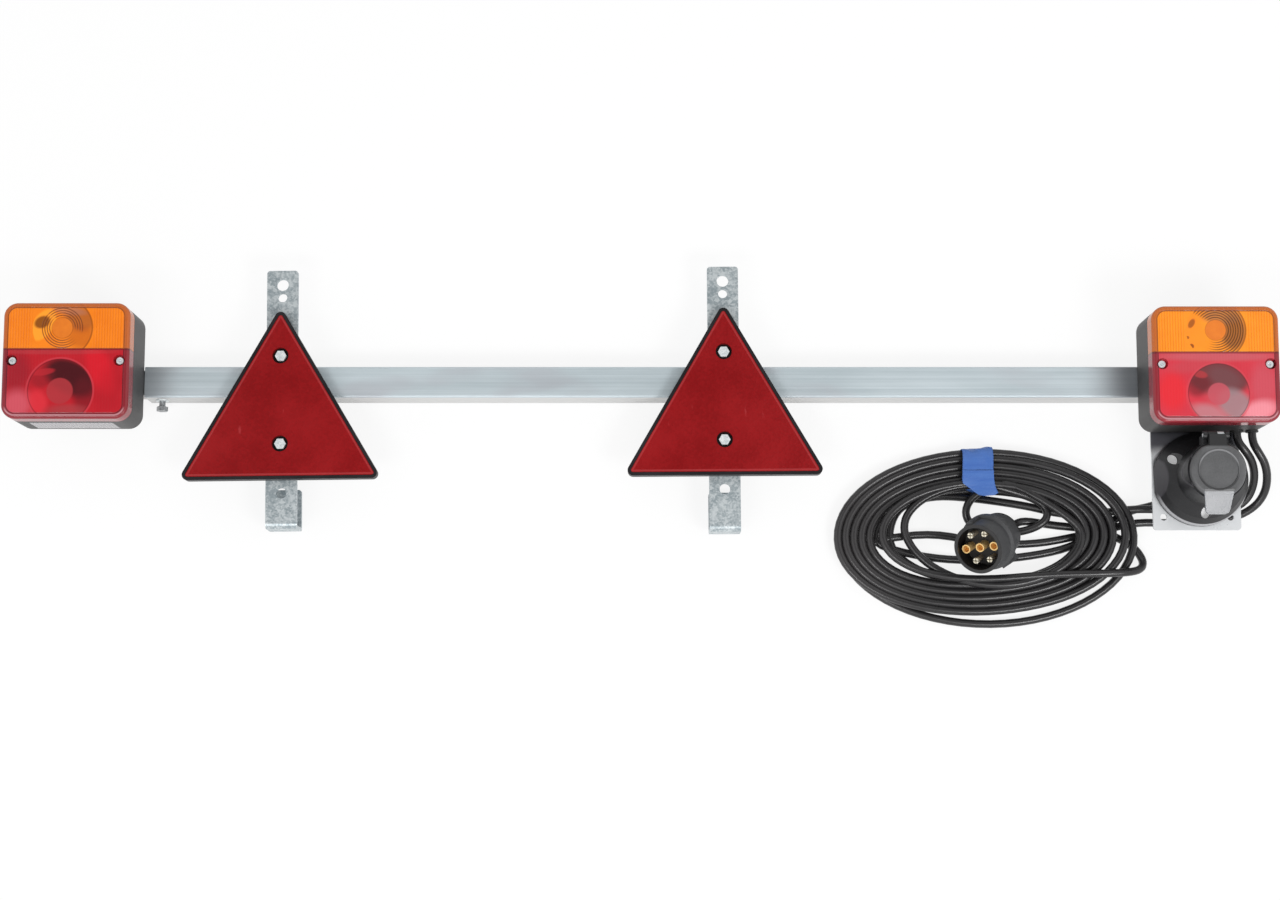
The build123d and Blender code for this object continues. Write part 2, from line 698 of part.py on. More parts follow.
def lid_spring():
    """Torsion spring close-wound on the hinge pin, its turns drawn as the ridges of one sleeve."""
    length = hinge_width - hinge_barrel_length - 2 * ear_gap
    pitch = length / spring_turns
    inner = spring_radius - spring_wire
    profile = [(inner, 0)]
    for turn in range(spring_turns):
        profile += [(spring_radius - spring_wire / 3, turn * pitch), (spring_radius, (turn + 0.5) * pitch)]
    profile += [(spring_radius - spring_wire / 3, length), (inner, length)]
    start = hinge_width / 2 - ear_gap - length
    return Pos(start, hinge_y, hinge_height) * Rot(0, 90, 0) * turned(profile)


def socket_screws():
    """Three screws through the socket and the plate, each with a nut behind the plate."""
    pieces = []
    head = socket_flange + socket_screw_head_height
    back = -plate_thickness
    for x, y in socket_screw_places():
        tail = back - m5_nut - bolt_tail
        screw = drum(m5_radius, tail, socket_flange, x, y)
        pieces.append(screw + drum(socket_screw_head, socket_flange, head, x, y))
        nut = hexagon(m5_flats, back - m5_nut, back, x, y)
        pieces.append(nut - drum(m5_radius + thread_gap, tail, 0, x, y))
    return group(*pieces)


def plate_grommet():
    """Grommet in the plate behind the socket, drawn out to a strain relief for its cable."""
    back = -plate_thickness
    spigot = plate_cable_hole - slip
    lip = plate_cable_hole + relief_lip
    tip = cable_diameter / 2 + relief_wall
    profile = [(0, 0), (spigot, 0), (spigot, back), (lip, back), (lip, back - relief_wall)]
    profile += [(tip, back - relief_length), (0, back - relief_length)]
    return turned(profile)


def build_socket():
    """Plate, seven-pin socket and its sprung lid."""
    place = Pos(socket_x, socket_y, plate_front)
    gasket = drum(socket_radius - 1, 0, gasket_thickness) - drum(socket_back_radius, 0, gasket_thickness)
    beyond = -socket_flat - socket_radius / 2 + 1
    gasket -= block(socket_radius, 2 * socket_radius, 0, gasket_thickness, beyond)
    for x, y in socket_screw_places():
        gasket -= drum(m5_radius + hole_gap, 0, gasket_thickness, x, y)
    insert = drum(socket_bore_radius - slip, socket_bore_floor, socket_bore_floor + socket_insert_height)
    pin_length = 2 * (hinge_width / 2 + ear_gap + ear_thickness)
    pin = Pos(0, hinge_y, hinge_height) * Rot(0, 90, 0) * Cylinder(hinge_pin, pin_length)
    nodes["socket_plate"] = socket_plate()
    nodes["socket_gasket"] = place * gasket
    nodes["socket_body"] = place * socket_body()
    nodes["socket_insert"] = place * insert
    nodes["socket_contacts"] = place * contacts(socket_bore_floor + socket_insert_height, contact_height)
    nodes["socket_lid"] = place * socket_lid()
    nodes["socket_lid_pin"] = place * pin
    nodes["socket_lid_spring"] = place * lid_spring()
    nodes["socket_screws"] = place * socket_screws()
    nodes["plate_grommet"] = place * plate_grommet()


def plug_place():
    """Frame of the plug: origin in the middle of its nose, Z out of the nose."""
    lean = Rot(0, 0, plug_heading) * Rot(0, 90 - plug_pitch, 0)
    return Location(plug_nose_point) * lean * Rot(0, 0, plug_roll)


def build_plug():
    """Seven-pin plug: housing, contact insert, contacts and cable gland."""
    collar = -plug_nose_length
    collar_end = collar - plug_collar_length
    rear = -plug_body_end
    profile = [(0, 0), (plug_nose_radius, 0), (plug_nose_radius, collar), (plug_collar_radius, collar - 1)]
    profile += [(plug_collar_radius, collar_end), (plug_body_radius, collar_end - 1)]
    profile += [(plug_body_radius - plug_body_taper, rear), (gland_radius + 1, rear - plug_shoulder)]
    profile += [(0, rear - plug_shoulder)]
    housing = turned(profile)
    reach = plug_nose_radius + plug_key_height
    key = block(2 * reach, plug_key_width, collar, -plug_key_height) & drum(reach, collar, 0)
    lug_reach = plug_body_radius + plug_lug_height
    lug = block(lug_reach, plug_lug_width, rear + plug_shoulder, collar_end + slip, lug_reach / 2)
    housing += Rot(0, 0, plug_key_angle) * (key & block(reach, plug_key_width, collar, 0, reach / 2))
    housing += Rot(0, 0, plug_lug_angle) * lug
    housing -= drum(plug_mouth_radius, -plug_mouth_depth - plug_insert_thickness, slip)
    insert = drum(plug_mouth_radius - slip, -plug_mouth_depth - plug_insert_thickness, -plug_mouth_depth)
    gland_low = rear - plug_shoulder
    gland = turned([(0, gland_low), (gland_radius, gland_low), (gland_radius, gland_low - 5),
                    (gland_tip_radius, -plug_length), (0, -plug_length)])
    place = plug_place()
    nodes["plug_housing"] = place * housing
    nodes["plug_insert"] = place * insert
    nodes["plug_contacts"] = place * contacts(-plug_mouth_depth, plug_contact_length)
    nodes["plug_gland"] = place * gland


def cable(name, points):
    """Tube of the cable along straight runs that are joined by arcs as large as the runs allow."""
    places = [Vector(*point) for point in points]
    runs = [after - before for before, after in zip(places, places[1:])]
    radii = []
    for run, following in zip(runs, runs[1:]):
        half_turn = radians(run.get_angle(following)) / 2
        radii.append(0.45 * min(run.length, following.length) / tan(half_turn))
    path = FilletPolyline(*points, radius=[0.0, *radii, 0.0][1:-1])
    tube = sweep(Plane(origin=path @ 0, z_dir=path % 0) * Circle(cable_diameter / 2), path=path)
    share = tube.volume / (path.length * 3.14159265 * cable_diameter ** 2 / 4)
    print(name, "radii", [round(radius, 1) for radius in radii])
    print(name, "length", round(path.length, 1), "volume share", round(share, 4))
    return tube


def coil_body(grow):
    """Oval ring that the turns of the coil fill, larger all round by a distance."""
    outer = Pos(*coil_middle) * Ellipse(coil_half[0] + grow, coil_half[1] + grow)
    eye = Pos(*coil_eye_middle) * Ellipse(coil_eye_half[0] - grow, coil_eye_half[1] - grow)
    ring = Pos(0, 0, tape_thickness - grow) * extrude(outer - eye, coil_height + 2 * grow)
    flat = ring.faces().filter_by(Plane.XY)
    return fillet(flat.edges(), coil_edge + grow)


# Routes of the cable where it isn't coiled
lamp_exit_y = -29.65
lamp_exit_z = 39.5
main_lead_route = [(486.0, lamp_exit_y, lamp_exit_z), (486.0, -37.5, lamp_exit_z), (491.0, -45.5, 38.6),
                   (497.5, -54.0, 34.5), (501.0, -64.5, 28.5), (501.0, -75.5, 21.5), (495.5, -85.5, 14.5),
                   (482.0, -93.5, 9.5), (459.0, -97.0, 5.5), (430.0, -97.8, 4.0), (400.5, -97.0, 4.4)]
link_lead_route = [(474.0, lamp_exit_y, lamp_exit_z), (474.0, -36.5, lamp_exit_z), (480.0, -43.5, 38.6),
                   (487.0, -51.0, 34.0), (491.0, -60.5, 28.0), (491.5, -70.5, 22.0), (488.5, -80.0, 16.0),
                   (479.0, -87.2, 12.0), (462.0, -89.6, 10.7), (441.0, -89.0, 10.8), (418.5, -87.4, 10.8),
                   (396.0, -87.0, 10.8)]
socket_lead_route = [(446.0, -66.35, 22.0), (446.0, -66.35, 14.5), (441.0, -71.0, 8.6), (431.5, -77.5, 5.2),
                     (413.5, -84.3, 3.7), (396.0, -87.5, 3.8)]
tail_route = [(295.89, -103.22, 13.24), (301.26, -99.60, 6.29), (310.5, -95.3, 3.6), (333.5, -99.5, 3.5),
              (351.0, -101.0, 4.0)]
upper_cross_route = [(240.0, -75.5, 4.0), (262.0, -76.5, 3.5), (290.0, -80.0, 3.5), (318.0, -84.5, 3.5),
                     (342.0, -91.0, 4.0)]
middle_cross_route = [(202.0, -109.5, 4.0), (240.0, -105.8, 3.5), (280.0, -115.0, 3.5), (320.0, -115.0, 3.5),
                      (353.5, -108.5, 4.0)]
lower_cross_route = [(206.0, -120.5, 4.0), (243.0, -127.5, 3.5), (283.0, -128.0, 3.5), (321.0, -124.0, 3.5),
                     (352.0, -116.5, 4.0)]
small_loop_route = [(283.0, -69.0, 10.4), (268.5, -76.5, 10.4), (262.0, -88.0, 8.0), (266.5, -99.0, 4.8),
                    (279.5, -104.5, 3.6), (294.0, -106.0, 3.6), (309.0, -105.0, 5.6), (321.5, -101.0, 10.2),
                    (329.5, -93.5, 10.6), (326.0, -83.5, 10.6), (314.0, -77.0, 10.4), (296.0, -72.0, 10.4)]


def build_cables():
    """Coil, its tape, and the stretches of cable that leave it."""
    coil = coil_body(0.0)
    reach = 2 * coil_half[1]
    band = block(tape_width, reach, 0, 2 * coil_height, tape_middle, coil_eye_middle[1] + reach / 2)
    nodes["cable_coil"] = coil
    nodes["coil_tape"] = (coil_body(tape_thickness) & band) - coil_body(tape_gap)
    nodes["main_cable_tail"] = cable("tail", tail_route)
    nodes["main_cable_lead"] = cable("main lead", main_lead_route)
    nodes["link_cable_lead"] = cable("link lead", link_lead_route)
    nodes["socket_cable_lead"] = cable("socket lead", socket_lead_route)
    crossings = (upper_cross_route, middle_cross_route, lower_cross_route, small_loop_route)
    nodes["coil_inner_strands"] = group(*[cable("inner strand", route) for route in crossings])


build_bar()
for lamp_side in sides:
    build_lamp(lamp_side)
    build_bracket(lamp_side)
build_socket()
build_plug()
build_cables()

os.makedirs("parts", exist_ok=True)
for node, shape in nodes.items():
    export_step(shape, "parts/" + node + ".step")
print(len(nodes), "nodes")
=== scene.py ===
# %% [markdown]
# A trailer lighting board, laid flat on a pale floor as it is stored: a square aluminium bar with a lamp at
# each end, two triangular reflectors on zinc brackets, a socket under the right lamp and a long coiled lead.
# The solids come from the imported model, so the first step loads them and keeps the box that they fill.

# %% Load the solids
from math import cos, pi, radians, sin
import bpy
import numpy as np
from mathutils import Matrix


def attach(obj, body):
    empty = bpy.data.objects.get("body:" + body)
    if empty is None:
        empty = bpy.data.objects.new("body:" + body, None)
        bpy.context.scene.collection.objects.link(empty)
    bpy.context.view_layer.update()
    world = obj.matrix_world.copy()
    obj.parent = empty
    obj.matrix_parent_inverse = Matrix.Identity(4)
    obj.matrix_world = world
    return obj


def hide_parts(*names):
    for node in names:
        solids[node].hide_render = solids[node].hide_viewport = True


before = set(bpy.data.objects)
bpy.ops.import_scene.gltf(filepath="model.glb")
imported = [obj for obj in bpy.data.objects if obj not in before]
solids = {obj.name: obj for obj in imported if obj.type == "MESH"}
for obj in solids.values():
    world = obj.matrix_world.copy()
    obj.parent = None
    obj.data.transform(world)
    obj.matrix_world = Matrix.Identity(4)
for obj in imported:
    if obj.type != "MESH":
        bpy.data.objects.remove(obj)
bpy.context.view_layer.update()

# %% [markdown]
# The photograph looks straight down on the board from about a metre and a half, a little from its lower
# side, so the lower walls of the lamps show and the upper ones hide. Yet the reflectors are not squeezed, so
# the camera was tilted only a little and the picture was framed higher. A camera's shift does just that: it
# slides the frame over the lens without turning the view.

# %% Camera
camera_data = bpy.data.cameras.new("camera")
camera_data.sensor_fit = "HORIZONTAL"
camera_data.sensor_width = 36.0
camera_data.lens = 51.915
camera_data.shift_y = 0.09625
camera = bpy.data.objects.new("camera", camera_data)
camera.location = (0.0, -0.29425, 1.486)
camera.rotation_euler = (radians(6.0), 0.0, 0.0)
bpy.context.scene.collection.objects.link(camera)
bpy.context.scene.camera = camera
print("camera at", tuple(round(c, 3) for c in camera.location))

# %% [markdown]
# Shader sums get long when every Math node is placed by hand. Two small classes keep them readable: a
# Value is one socket that can be added, multiplied and compared like a number, and a Finish is one material
# with a single method that makes any other node. Its other methods are steps that finishes share, such as
# noise, a mix of two colours or a soft oval.

# %% Shader sums
class Value:
    """One shader socket. An operator on it adds a Math node to its material."""

    def __init__(self, finish, socket):
        self.finish = finish
        self.socket = socket

    def math(self, operation, *terms):
        """A Math node over the terms."""
        return self.finish.node("ShaderNodeMath", {"operation": operation}, dict(enumerate(terms)))

    def __add__(self, other):
        return self.math("ADD", self, other)

    __radd__ = __add__

    def __sub__(self, other):
        return self.math("SUBTRACT", self, other)

    def __rsub__(self, other):
        return self.math("SUBTRACT", other, self)

    def __mul__(self, other):
        return self.math("MULTIPLY", self, other)

    __rmul__ = __mul__

    def __truediv__(self, other):
        return self.math("DIVIDE", self, other)

    def __pow__(self, power):
        return self.math("POWER", self, power)

    def __abs__(self):
        return self.math("ABSOLUTE", self)

    def wave(self, pitch):
        """Smooth ridges from 0 to 1, one every pitch."""
        return self.math("SINE", self * (2 * pi / pitch)) * 0.5 + 0.5

    def hump(self, other):
        """The larger of two values."""
        return self.math("MAXIMUM", self, other)

    def dip(self, other):
        """The smaller of two values."""
        return self.math("MINIMUM", self, other)


class Finish:
    """One material, or the world's light, with a method for each kind of step in its nodes."""

    def __init__(self, name, owner=None):
        self.material = owner or bpy.data.materials.new(name)
        self.material.use_nodes = True
        self.tree = self.material.node_tree
        self.tree.nodes.clear()

    def node(self, kind, settings=None, inputs=None, output=0):
        """Makes a node from its type, settings and inputs; several outputs are asked for as a tuple."""
        made = self.tree.nodes.new(kind)
        for key, setting in (settings or {}).items():
            setattr(made, key, setting)
        for key, term in (inputs or {}).items():
            if isinstance(term, Value):
                self.tree.links.new(term.socket, made.inputs[key])
            else:
                made.inputs[key].default_value = term
        if isinstance(output, tuple):
            return [Value(self, made.outputs[key]) for key in output]
        return Value(self, made.outputs[output]) if made.outputs else None

    def place(self, centre=(0, 0, 0), scale=(1, 1, 1), turn=(0, 0, 0)):
        """Object coordinates in metres, measured from a centre, turned and stretched."""
        where = self.node("ShaderNodeTexCoord", output="Object")
        moved = self.node("ShaderNodeVectorMath", {"operation": "SUBTRACT"}, {0: where, 1: centre})
        return self.node("ShaderNodeMapping", {"vector_type": "POINT"},
                         {"Vector": moved, "Rotation": turn, "Scale": scale})

    def axes(self, vector):
        """The three parts of a vector."""
        return self.node("ShaderNodeSeparateXYZ", None, {0: vector}, (0, 1, 2))

    def noise(self, vector, scale, detail=3.0, roughness=0.5):
        """Smooth noise from 0 to 1."""
        return self.node("ShaderNodeTexNoise", {"noise_dimensions": "3D"},
                         {"Vector": vector, "Scale": scale, "Detail": detail, "Roughness": roughness})

    def cells(self, vector, scale, output="Distance"):
        """Voronoi cells: how far the nearest cell's point is, or a colour for each cell."""
        where = {"Vector": vector, "Scale": scale}
        return self.node("ShaderNodeTexVoronoi", {"feature": "F1"}, where, output)

    def ramp(self, value, low, high):
        """0 below low, 1 above high and a smooth change between them; low may be the larger."""
        limits = {"Value": value, "From Min": min(low, high), "From Max": max(low, high),
                  "To Min": float(low > high), "To Max": float(low <= high)}
        return self.node("ShaderNodeMapRange", {"interpolation_type": "SMOOTHSTEP"}, limits)

    def distance(self, x, y):
        """How far (x, y) is from the middle, the root of the sum of the squares."""
        return (x * x + y * y) ** 0.5

    def mix(self, factor, first, second):
        """Two colours mixed by a value."""
        colours = {0: factor, 6: first if isinstance(first, Value) else (*first, 1.0),
                   7: second if isinstance(second, Value) else (*second, 1.0)}
        return self.node("ShaderNodeMix", {"data_type": "RGBA"}, colours, 2)

    def bump(self, height, distance, strength):
        """A normal that follows a height; a height of 1 stands as tall as the distance, in metres."""
        relief = {"Height": height, "Distance": distance, "Strength": strength}
        return self.node("ShaderNodeBump", None, relief)

    def surface(self, colour, roughness, metallic=0.0, **inputs):
        """A Principled shader; a constant is set on its own socket."""
        names = {"normal": "Normal", "coat": "Coat Weight", "coat_roughness": "Coat Roughness", "ior": "IOR",
                 "through": "Transmission Weight", "specular": "Specular IOR Level",
                 "glow": "Emission Color", "glow_strength": "Emission Strength"}
        terms = {"Base Color": colour, "Roughness": roughness, "Metallic": metallic}
        terms.update({names[key]: term for key, term in inputs.items()})
        return self.node("ShaderNodeBsdfPrincipled", None, terms)

    def blend(self, factor, first, second):
        """Two shaders mixed by a value."""
        return self.node("ShaderNodeMixShader", None, {0: factor, 1: first, 2: second})

    def patch(self, x, y, middle, size, lean=0.0, soft=0.5):
        """A soft oval, 1 inside and 0 outside, that fades over a share of its radius."""
        c, s = cos(radians(lean)), sin(radians(lean))
        across, up = x - middle[0], y - middle[1]
        far = self.distance((across * c + up * s) / size[0], (up * c - across * s) / size[1])
        return self.ramp(far, 1.0 + soft / 2, 1.0 - soft / 2)

    def done(self, shader, output="ShaderNodeOutputMaterial"):
        """Joins the shader to the output and gives back the finished material."""
        self.node(output, None, {"Surface": shader})
        print("finish", self.material.name, "of", len(self.tree.nodes), "nodes")
        return self.material


def wear(material, *names):
    """Gives CAD solids a finish in their material slots."""
    for name in names:
        mesh = solids[name].data
        mesh.materials.clear()
        mesh.materials.append(material)


# %% [markdown]
# The object was cut out on pure white. A white floor under plain light would still render pale grey, so for
# the camera and for glossy and clear surfaces the floor also glows a little, up to white. It is a real floor,
# so the board keeps a soft shadow that ties it to the ground.

# %% Floor
def floor_grid(half, count):
    """A flat square grid of points about the origin, in rows along X and columns along Y."""
    line = np.linspace(-half, half, count)
    x, y = np.meshgrid(line, line, indexing="ij")
    return np.stack([x, y, np.zeros_like(x)], axis=-1)


def grid_mesh(name, points, around=False):
    """Mesh of a grid of points, four neighbours to a face; a grid that goes around has its rows closed."""
    rows, columns = points.shape[:2]
    i, j = np.meshgrid(np.arange(rows - (not around)), np.arange(columns - 1), indexing="ij")
    k = (i + 1) % rows
    corners = [i * columns + j, k * columns + j, k * columns + j + 1, i * columns + j + 1]
    faces = np.stack(corners, axis=-1).reshape(-1, 4)
    mesh = bpy.data.meshes.new(name)
    mesh.vertices.add(rows * columns)
    mesh.vertices.foreach_set("co", points.reshape(-1).astype(np.float32))
    mesh.loops.add(faces.size)
    mesh.loops.foreach_set("vertex_index", faces.reshape(-1).astype(np.int32))
    mesh.polygons.add(len(faces))
    mesh.polygons.foreach_set("loop_start", np.arange(0, faces.size, 4, dtype=np.int32))
    mesh.update(calc_edges=True)
    mesh.validate()
    mesh.shade_smooth()
    return mesh


def show(name, mesh, material=None):
    """Puts a mesh or curve into the scene."""
    piece = bpy.data.objects.new(name, mesh)
    bpy.context.scene.collection.objects.link(piece)
    if material:
        piece.data.materials.append(material)
    return piece


white = Finish("studio_floor")
rays = ("Is Camera Ray", "Is Glossy Ray", "Is Transmission Ray")
direct, mirrored, through = white.node("ShaderNodeLightPath", output=rays)
shown = direct.hump(mirrored).hump(through)
matt = white.node("ShaderNodeBsdfDiffuse", None, {"Color": (0.9, 0.9, 0.9, 1.0)})
glow = white.node("ShaderNodeEmission", None, {"Color": (1.0, 1.0, 1.0, 1.0), "Strength": 1.0})
glow_share = 0.84
studio_white = white.done(white.blend(shown * glow_share, matt, glow))
floor = show("floor", grid_mesh("floor", floor_grid(4.0, 3)), studio_white)
print("floor of", tuple(round(d, 1) for d in floor.dimensions[:2]), "m")

# %% [markdown]
# Plain soft light from all round, as in a white tent. Only above, where the camera looks in, the tent is
# dark: flat shiny things such as the reflectors mirror that dark place, and their colour stays deep. A
# softbox at the lower right lights the sloping tongue of the lid, and a weaker one at the lower left draws
# fine bright lines on the cables.

# %% Light
scene = bpy.context.scene
scene.view_settings.view_transform = "Standard"
tent = Finish("tent", bpy.data.worlds.new("tent"))
side_way, up_way = tent.axes(tent.node("ShaderNodeTexCoord", output="Generated"))[:2]
open_tent = 1.0 - tent.patch(side_way, up_way, middle=(-0.07, 0.2), size=(0.33, 0.27), soft=0.9)
tent_light = tent.mix(open_tent, (0.04, 0.04, 0.04), (0.86, 0.86, 0.86))
in_view = tent.node("ShaderNodeLightPath", output="Is Camera Ray")
backdrop = tent.mix(in_view, tent_light, (1.0, 1.0, 1.0))
tent_shader = tent.node("ShaderNodeBackground", None, {"Color": backdrop, "Strength": 1.0})
tent.done(tent_shader, "ShaderNodeOutputWorld")
scene.world = tent.material


def panel(name, size, power, place, turn):
    """A softbox: its size in metres, its power in watts, its place and its turn in degrees."""
    lamp = bpy.data.lights.new(name, "AREA")
    lamp.shape = "RECTANGLE"
    lamp.size, lamp.size_y = size
    lamp.energy = power
    lit = bpy.data.objects.new(name, lamp)
    lit.location = place
    lit.rotation_euler = tuple(radians(angle) for angle in turn)
    scene.collection.objects.link(lit)


panel("right_softbox", size=(0.8, 0.6), power=20.0, place=(1.07, -1.18, 1.80), turn=(37.0, 0.0, 34.0))
panel("left_softbox", size=(1.1, 0.35), power=11.0, place=(-0.7, -1.2, 1.75), turn=(35.0, 0.0, -25.0))

# %% [markdown]
# The lead is round black flex, satin rather than glossy, with a little dust and scuffing along it. The left
# of the coil is painted lighter, painted light from that side. Noise on Object coordinates is enough, because
# a plain jacket has no pattern that follows the cable.

# %% Finish of the cable jacket
jacket = Finish("cable_jacket")
spot = jacket.place()
dust = jacket.noise(spot, 90.0, 4.0, 0.6)
scuff = jacket.ramp(jacket.noise(spot, 520.0, 2.0), 0.56, 0.72)
plain_jacket = jacket.mix(dust, (0.0108, 0.0102, 0.0110), (0.0225, 0.0214, 0.0228))
# painted light: the left of the coil is painted lighter, for the light from that side
lit_left = jacket.ramp(jacket.axes(spot)[0], 0.240, 0.160)
jacket_colour = jacket.mix(lit_left * 0.7, plain_jacket, (0.0400, 0.0375, 0.0385))
jacket_grain = jacket.bump(jacket.noise(spot, 1400.0, 2.0), 0.0001, 0.10)
jacket_roughness = 0.24 + dust * 0.08 + scuff * 0.03
cable_jacket = jacket.done(jacket.surface(jacket_colour, jacket_roughness, normal=jacket_grain, specular=0.5))

# %% [markdown]
# Two cables leave the right lamp, pass behind the plate and under the coil, and cross its eye. The main one
# is wound into all the turns and ends in the plug. The link makes one turn with it and comes back to the
# socket. Each is one smooth spline, so its control points are simply listed: a route where it runs free, and
# an oval ring where it is wound. In the ring every turn keeps a lane between the inner and the outer oval,
# and the lane and the height are given where the turn passes the tie, the left, the bottom and the right.

# %% Lanes of the coil
cable_radius = 0.00325
inner_middle, inner_half = np.array([277.5, -108.5]), np.array([77.3, 37.8])
outer_middle, outer_half = np.array([278.5, -110.5]), np.array([121.7, 70.7])
print("coil between ovals of", 2 * inner_half, "and", 2 * outer_half, "mm")


def ring_points(start, lanes, heights, steps=4):
    """Points of a cable wound round the ring, in millimetres.

    The angle grows by a quarter turn from one listed lane to the next. Between them the lane and the height
    ease from one value to the next with the curve 3t^2 - 2t^3, and the lane is the share of the way from
    the inner oval to the outer one.
    """
    count = (len(lanes) - 1) * steps
    quarter = np.arange(count + 1) / steps
    whole = np.minimum(np.floor(quarter), len(lanes) - 2)
    part = quarter - whole
    eased = whole + part * part * (3 - 2 * part)
    knots = np.arange(len(lanes))
    lane = np.interp(eased, knots, lanes)[:, None]
    height = np.interp(eased, knots, heights)
    angle = np.radians(start + 90.0 * quarter)
    oval = np.stack([np.cos(angle), np.sin(angle)], axis=-1)
    inner = inner_middle + inner_half * oval
    outer = outer_middle + outer_half * oval
    return np.column_stack([inner + (outer - inner) * lane, height])


def cable_spline(name, points):
    """A smooth open spline with the points as its control points, thickened to the cable's diameter."""
    curve = bpy.data.curves.new(name, "CURVE")
    curve.dimensions = "3D"
    spline = curve.splines.new("NURBS")
    spline.points.add(len(points) - 1)
    spline.points.foreach_set("co", np.column_stack([points / 1000.0, np.ones(len(points))]).ravel())
    spline.points.foreach_set("radius", np.full(len(points), cable_radius))
    spline.order_u = 3
    spline.use_endpoint_u = True
    curve.resolution_u = 4
    curve.bevel_depth = 1.0
    curve.bevel_resolution = 4
    curve.materials.append(cable_jacket)
    return show(name, curve)


# %% Main cable
main_lead = [(486, -29.65, 39.5), (486, -37.5, 39.5), (491, -45.5, 38.6), (497.5, -54, 34.5),
             (501, -64.5, 28.5), (501, -75.5, 21.5), (495.5, -85.5, 14.5), (482, -93.5, 9.5),
             (459, -97, 5.5), (430, -97.8, 4), (400.5, -97, 4.2), (376, -103.5, 3.6)]
middle_cross = [(353.5, -108.5, 3.6), (320, -115, 3.5), (280, -115, 3.5), (240, -105.8, 3.5),
                (202, -109.5, 3.5), (186, -114.5, 3.5)]
lanes = [0.46, 0.18, 0.12,
         0.08, 0.44, 0.34, 0.26,
         0.26, 0.60, 0.50, 0.40,
         0.42, 0.77, 0.66, 0.50,
         0.58, 0.94, 1.00, 1.00,
         1.00, 1.00, 0.68, 0.83,
         0.84, 0.85, 0.52, 0.60,
         0.64, 0.70, 0.36, 0.44,
         0.46, 0.55, 0.20, 0.28,
         0.28, 0.40, 0.04, 0.12,
         0.12, -0.32, 0.14, 0.00]
low, high, top = (3.5, 3.5, 3.5, 9.9), (9.7, 9.7, 9.7, 15.9), (15.6, 11.5, 15.8, 17.5)
heights = list(low[1:]) + list(low) * 4 + list(high) * 5 + list(top)
small_loop = [(300, -66, 16), (283, -69, 13.5), (268.5, -76.5, 10.4), (262, -88, 8), (266.5, -99, 4.8),
              (279.5, -104.5, 3.6), (294, -106, 3.6), (309, -105, 5.6), (321.5, -101, 10.2),
              (329.5, -93.5, 10.6), (326, -83.5, 10.6), (314, -77, 10.6), (296, -72, 13)]
last_turn = ring_points(94.0, [0.16, 0.17, -0.04], [16.5, 16.0, 16.2])
bight = [(326.9, -141, 17), (366.8, -140.4, 19), (390, -139.4, 17), (402.7, -136.4, 11), (406.2, -130, 6),
         (403.4, -122.7, 4), (398, -116.5, 3.6), (387, -109.9, 3.5), (371, -103.4, 3.5)]
tail = [(351, -101, 3.6), (333.5, -99.5, 3.5), (310.5, -95.3, 3.6), (301.26, -99.6, 6.29),
        (295.89, -103.22, 13.24)]
turns = ring_points(start=194.0, lanes=lanes, heights=heights)
main_points = np.vstack([main_lead, middle_cross, turns, small_loop, last_turn, bight, tail])
main_cable = cable_spline("main_cable", main_points)
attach(main_cable, "board")
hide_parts("main_cable_lead", "main_cable_tail", "coil_inner_strands", "cable_coil")
print("main cable of", len(main_points), "points")

# %% Link cable
link_lead = [(474, -29.65, 39.5), (474, -36.5, 39.5), (480, -43.5, 38.6), (487, -51, 34), (491, -60.5, 28),
             (491.5, -70.5, 22), (488.5, -80, 16), (479, -87.2, 12), (462, -89.6, 10.7), (441, -89, 10.8),
             (418.5, -87.4, 10.6), (396, -87, 9), (370, -90, 4)]
upper_cross = [(342, -91, 3.6), (318, -84.5, 3.5), (290, -80, 3.5), (262, -76.5, 3.5), (240, -75.5, 3.5),
               (219, -80, 3.5), (205.5, -90, 3.5)]
link_turn = ring_points(184.0, [0.0, 0.02, 0.02, 0.0, 0.3], [3.5, 3.5, 9.9, 3.5, 3.5])
lower_cross = [(206, -120.5, 3.5), (243, -127.5, 3.5), (283, -128, 3.5), (321, -124, 3.5), (352, -116.5, 3.6),
               (376, -100, 3.6)]
socket_lead = [(396, -87.5, 3.8), (413.5, -84.3, 3.7), (431.5, -77.5, 5.2), (441, -71, 8.6),
               (446, -66.35, 14.5), (446, -66.35, 22)]
link_points = np.vstack([link_lead, upper_cross, link_turn, lower_cross, socket_lead])
link_cable = cable_spline("link_cable", link_points)
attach(link_cable, "board")
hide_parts("link_cable_lead", "socket_cable_lead")
print("link cable of", len(link_points), "points")


# %% Lengths of the cables
def cable_length(cable):
    """Length of a cable's spline, the sum of the short chords that Blender draws it with."""
    thick = cable.data.bevel_depth
    cable.data.bevel_depth = 0.0
    line = bpy.data.meshes.new_from_object(cable.evaluated_get(bpy.context.evaluated_depsgraph_get()))
    points = np.empty(len(line.vertices) * 3)
    line.vertices.foreach_get("co", points)
    cable.data.bevel_depth = thick
    bpy.data.meshes.remove(line)
    return float(np.linalg.norm(np.diff(points.reshape(-1, 3), axis=0), axis=1).sum())


bpy.context.view_layer.update()
print("lengths", round(cable_length(main_cable), 3), round(cable_length(link_cable), 3), "m")

# %% [markdown]
# A strip of blue tape holds the bundle at its upper side. It is wrapped tight, so its section follows the
# bundle as a rounded oblong, and its free end sticks out as a pointed tab. The wrap is a closed profile
# carried along X, and the tab is a small sheet that bends down from it.

# %% Tape
tape_left, tape_width = 259.2, 24.6
bundle_middle, bundle_half = 10.3, 10.0
oblong = 0.74
tab_top = -57.0


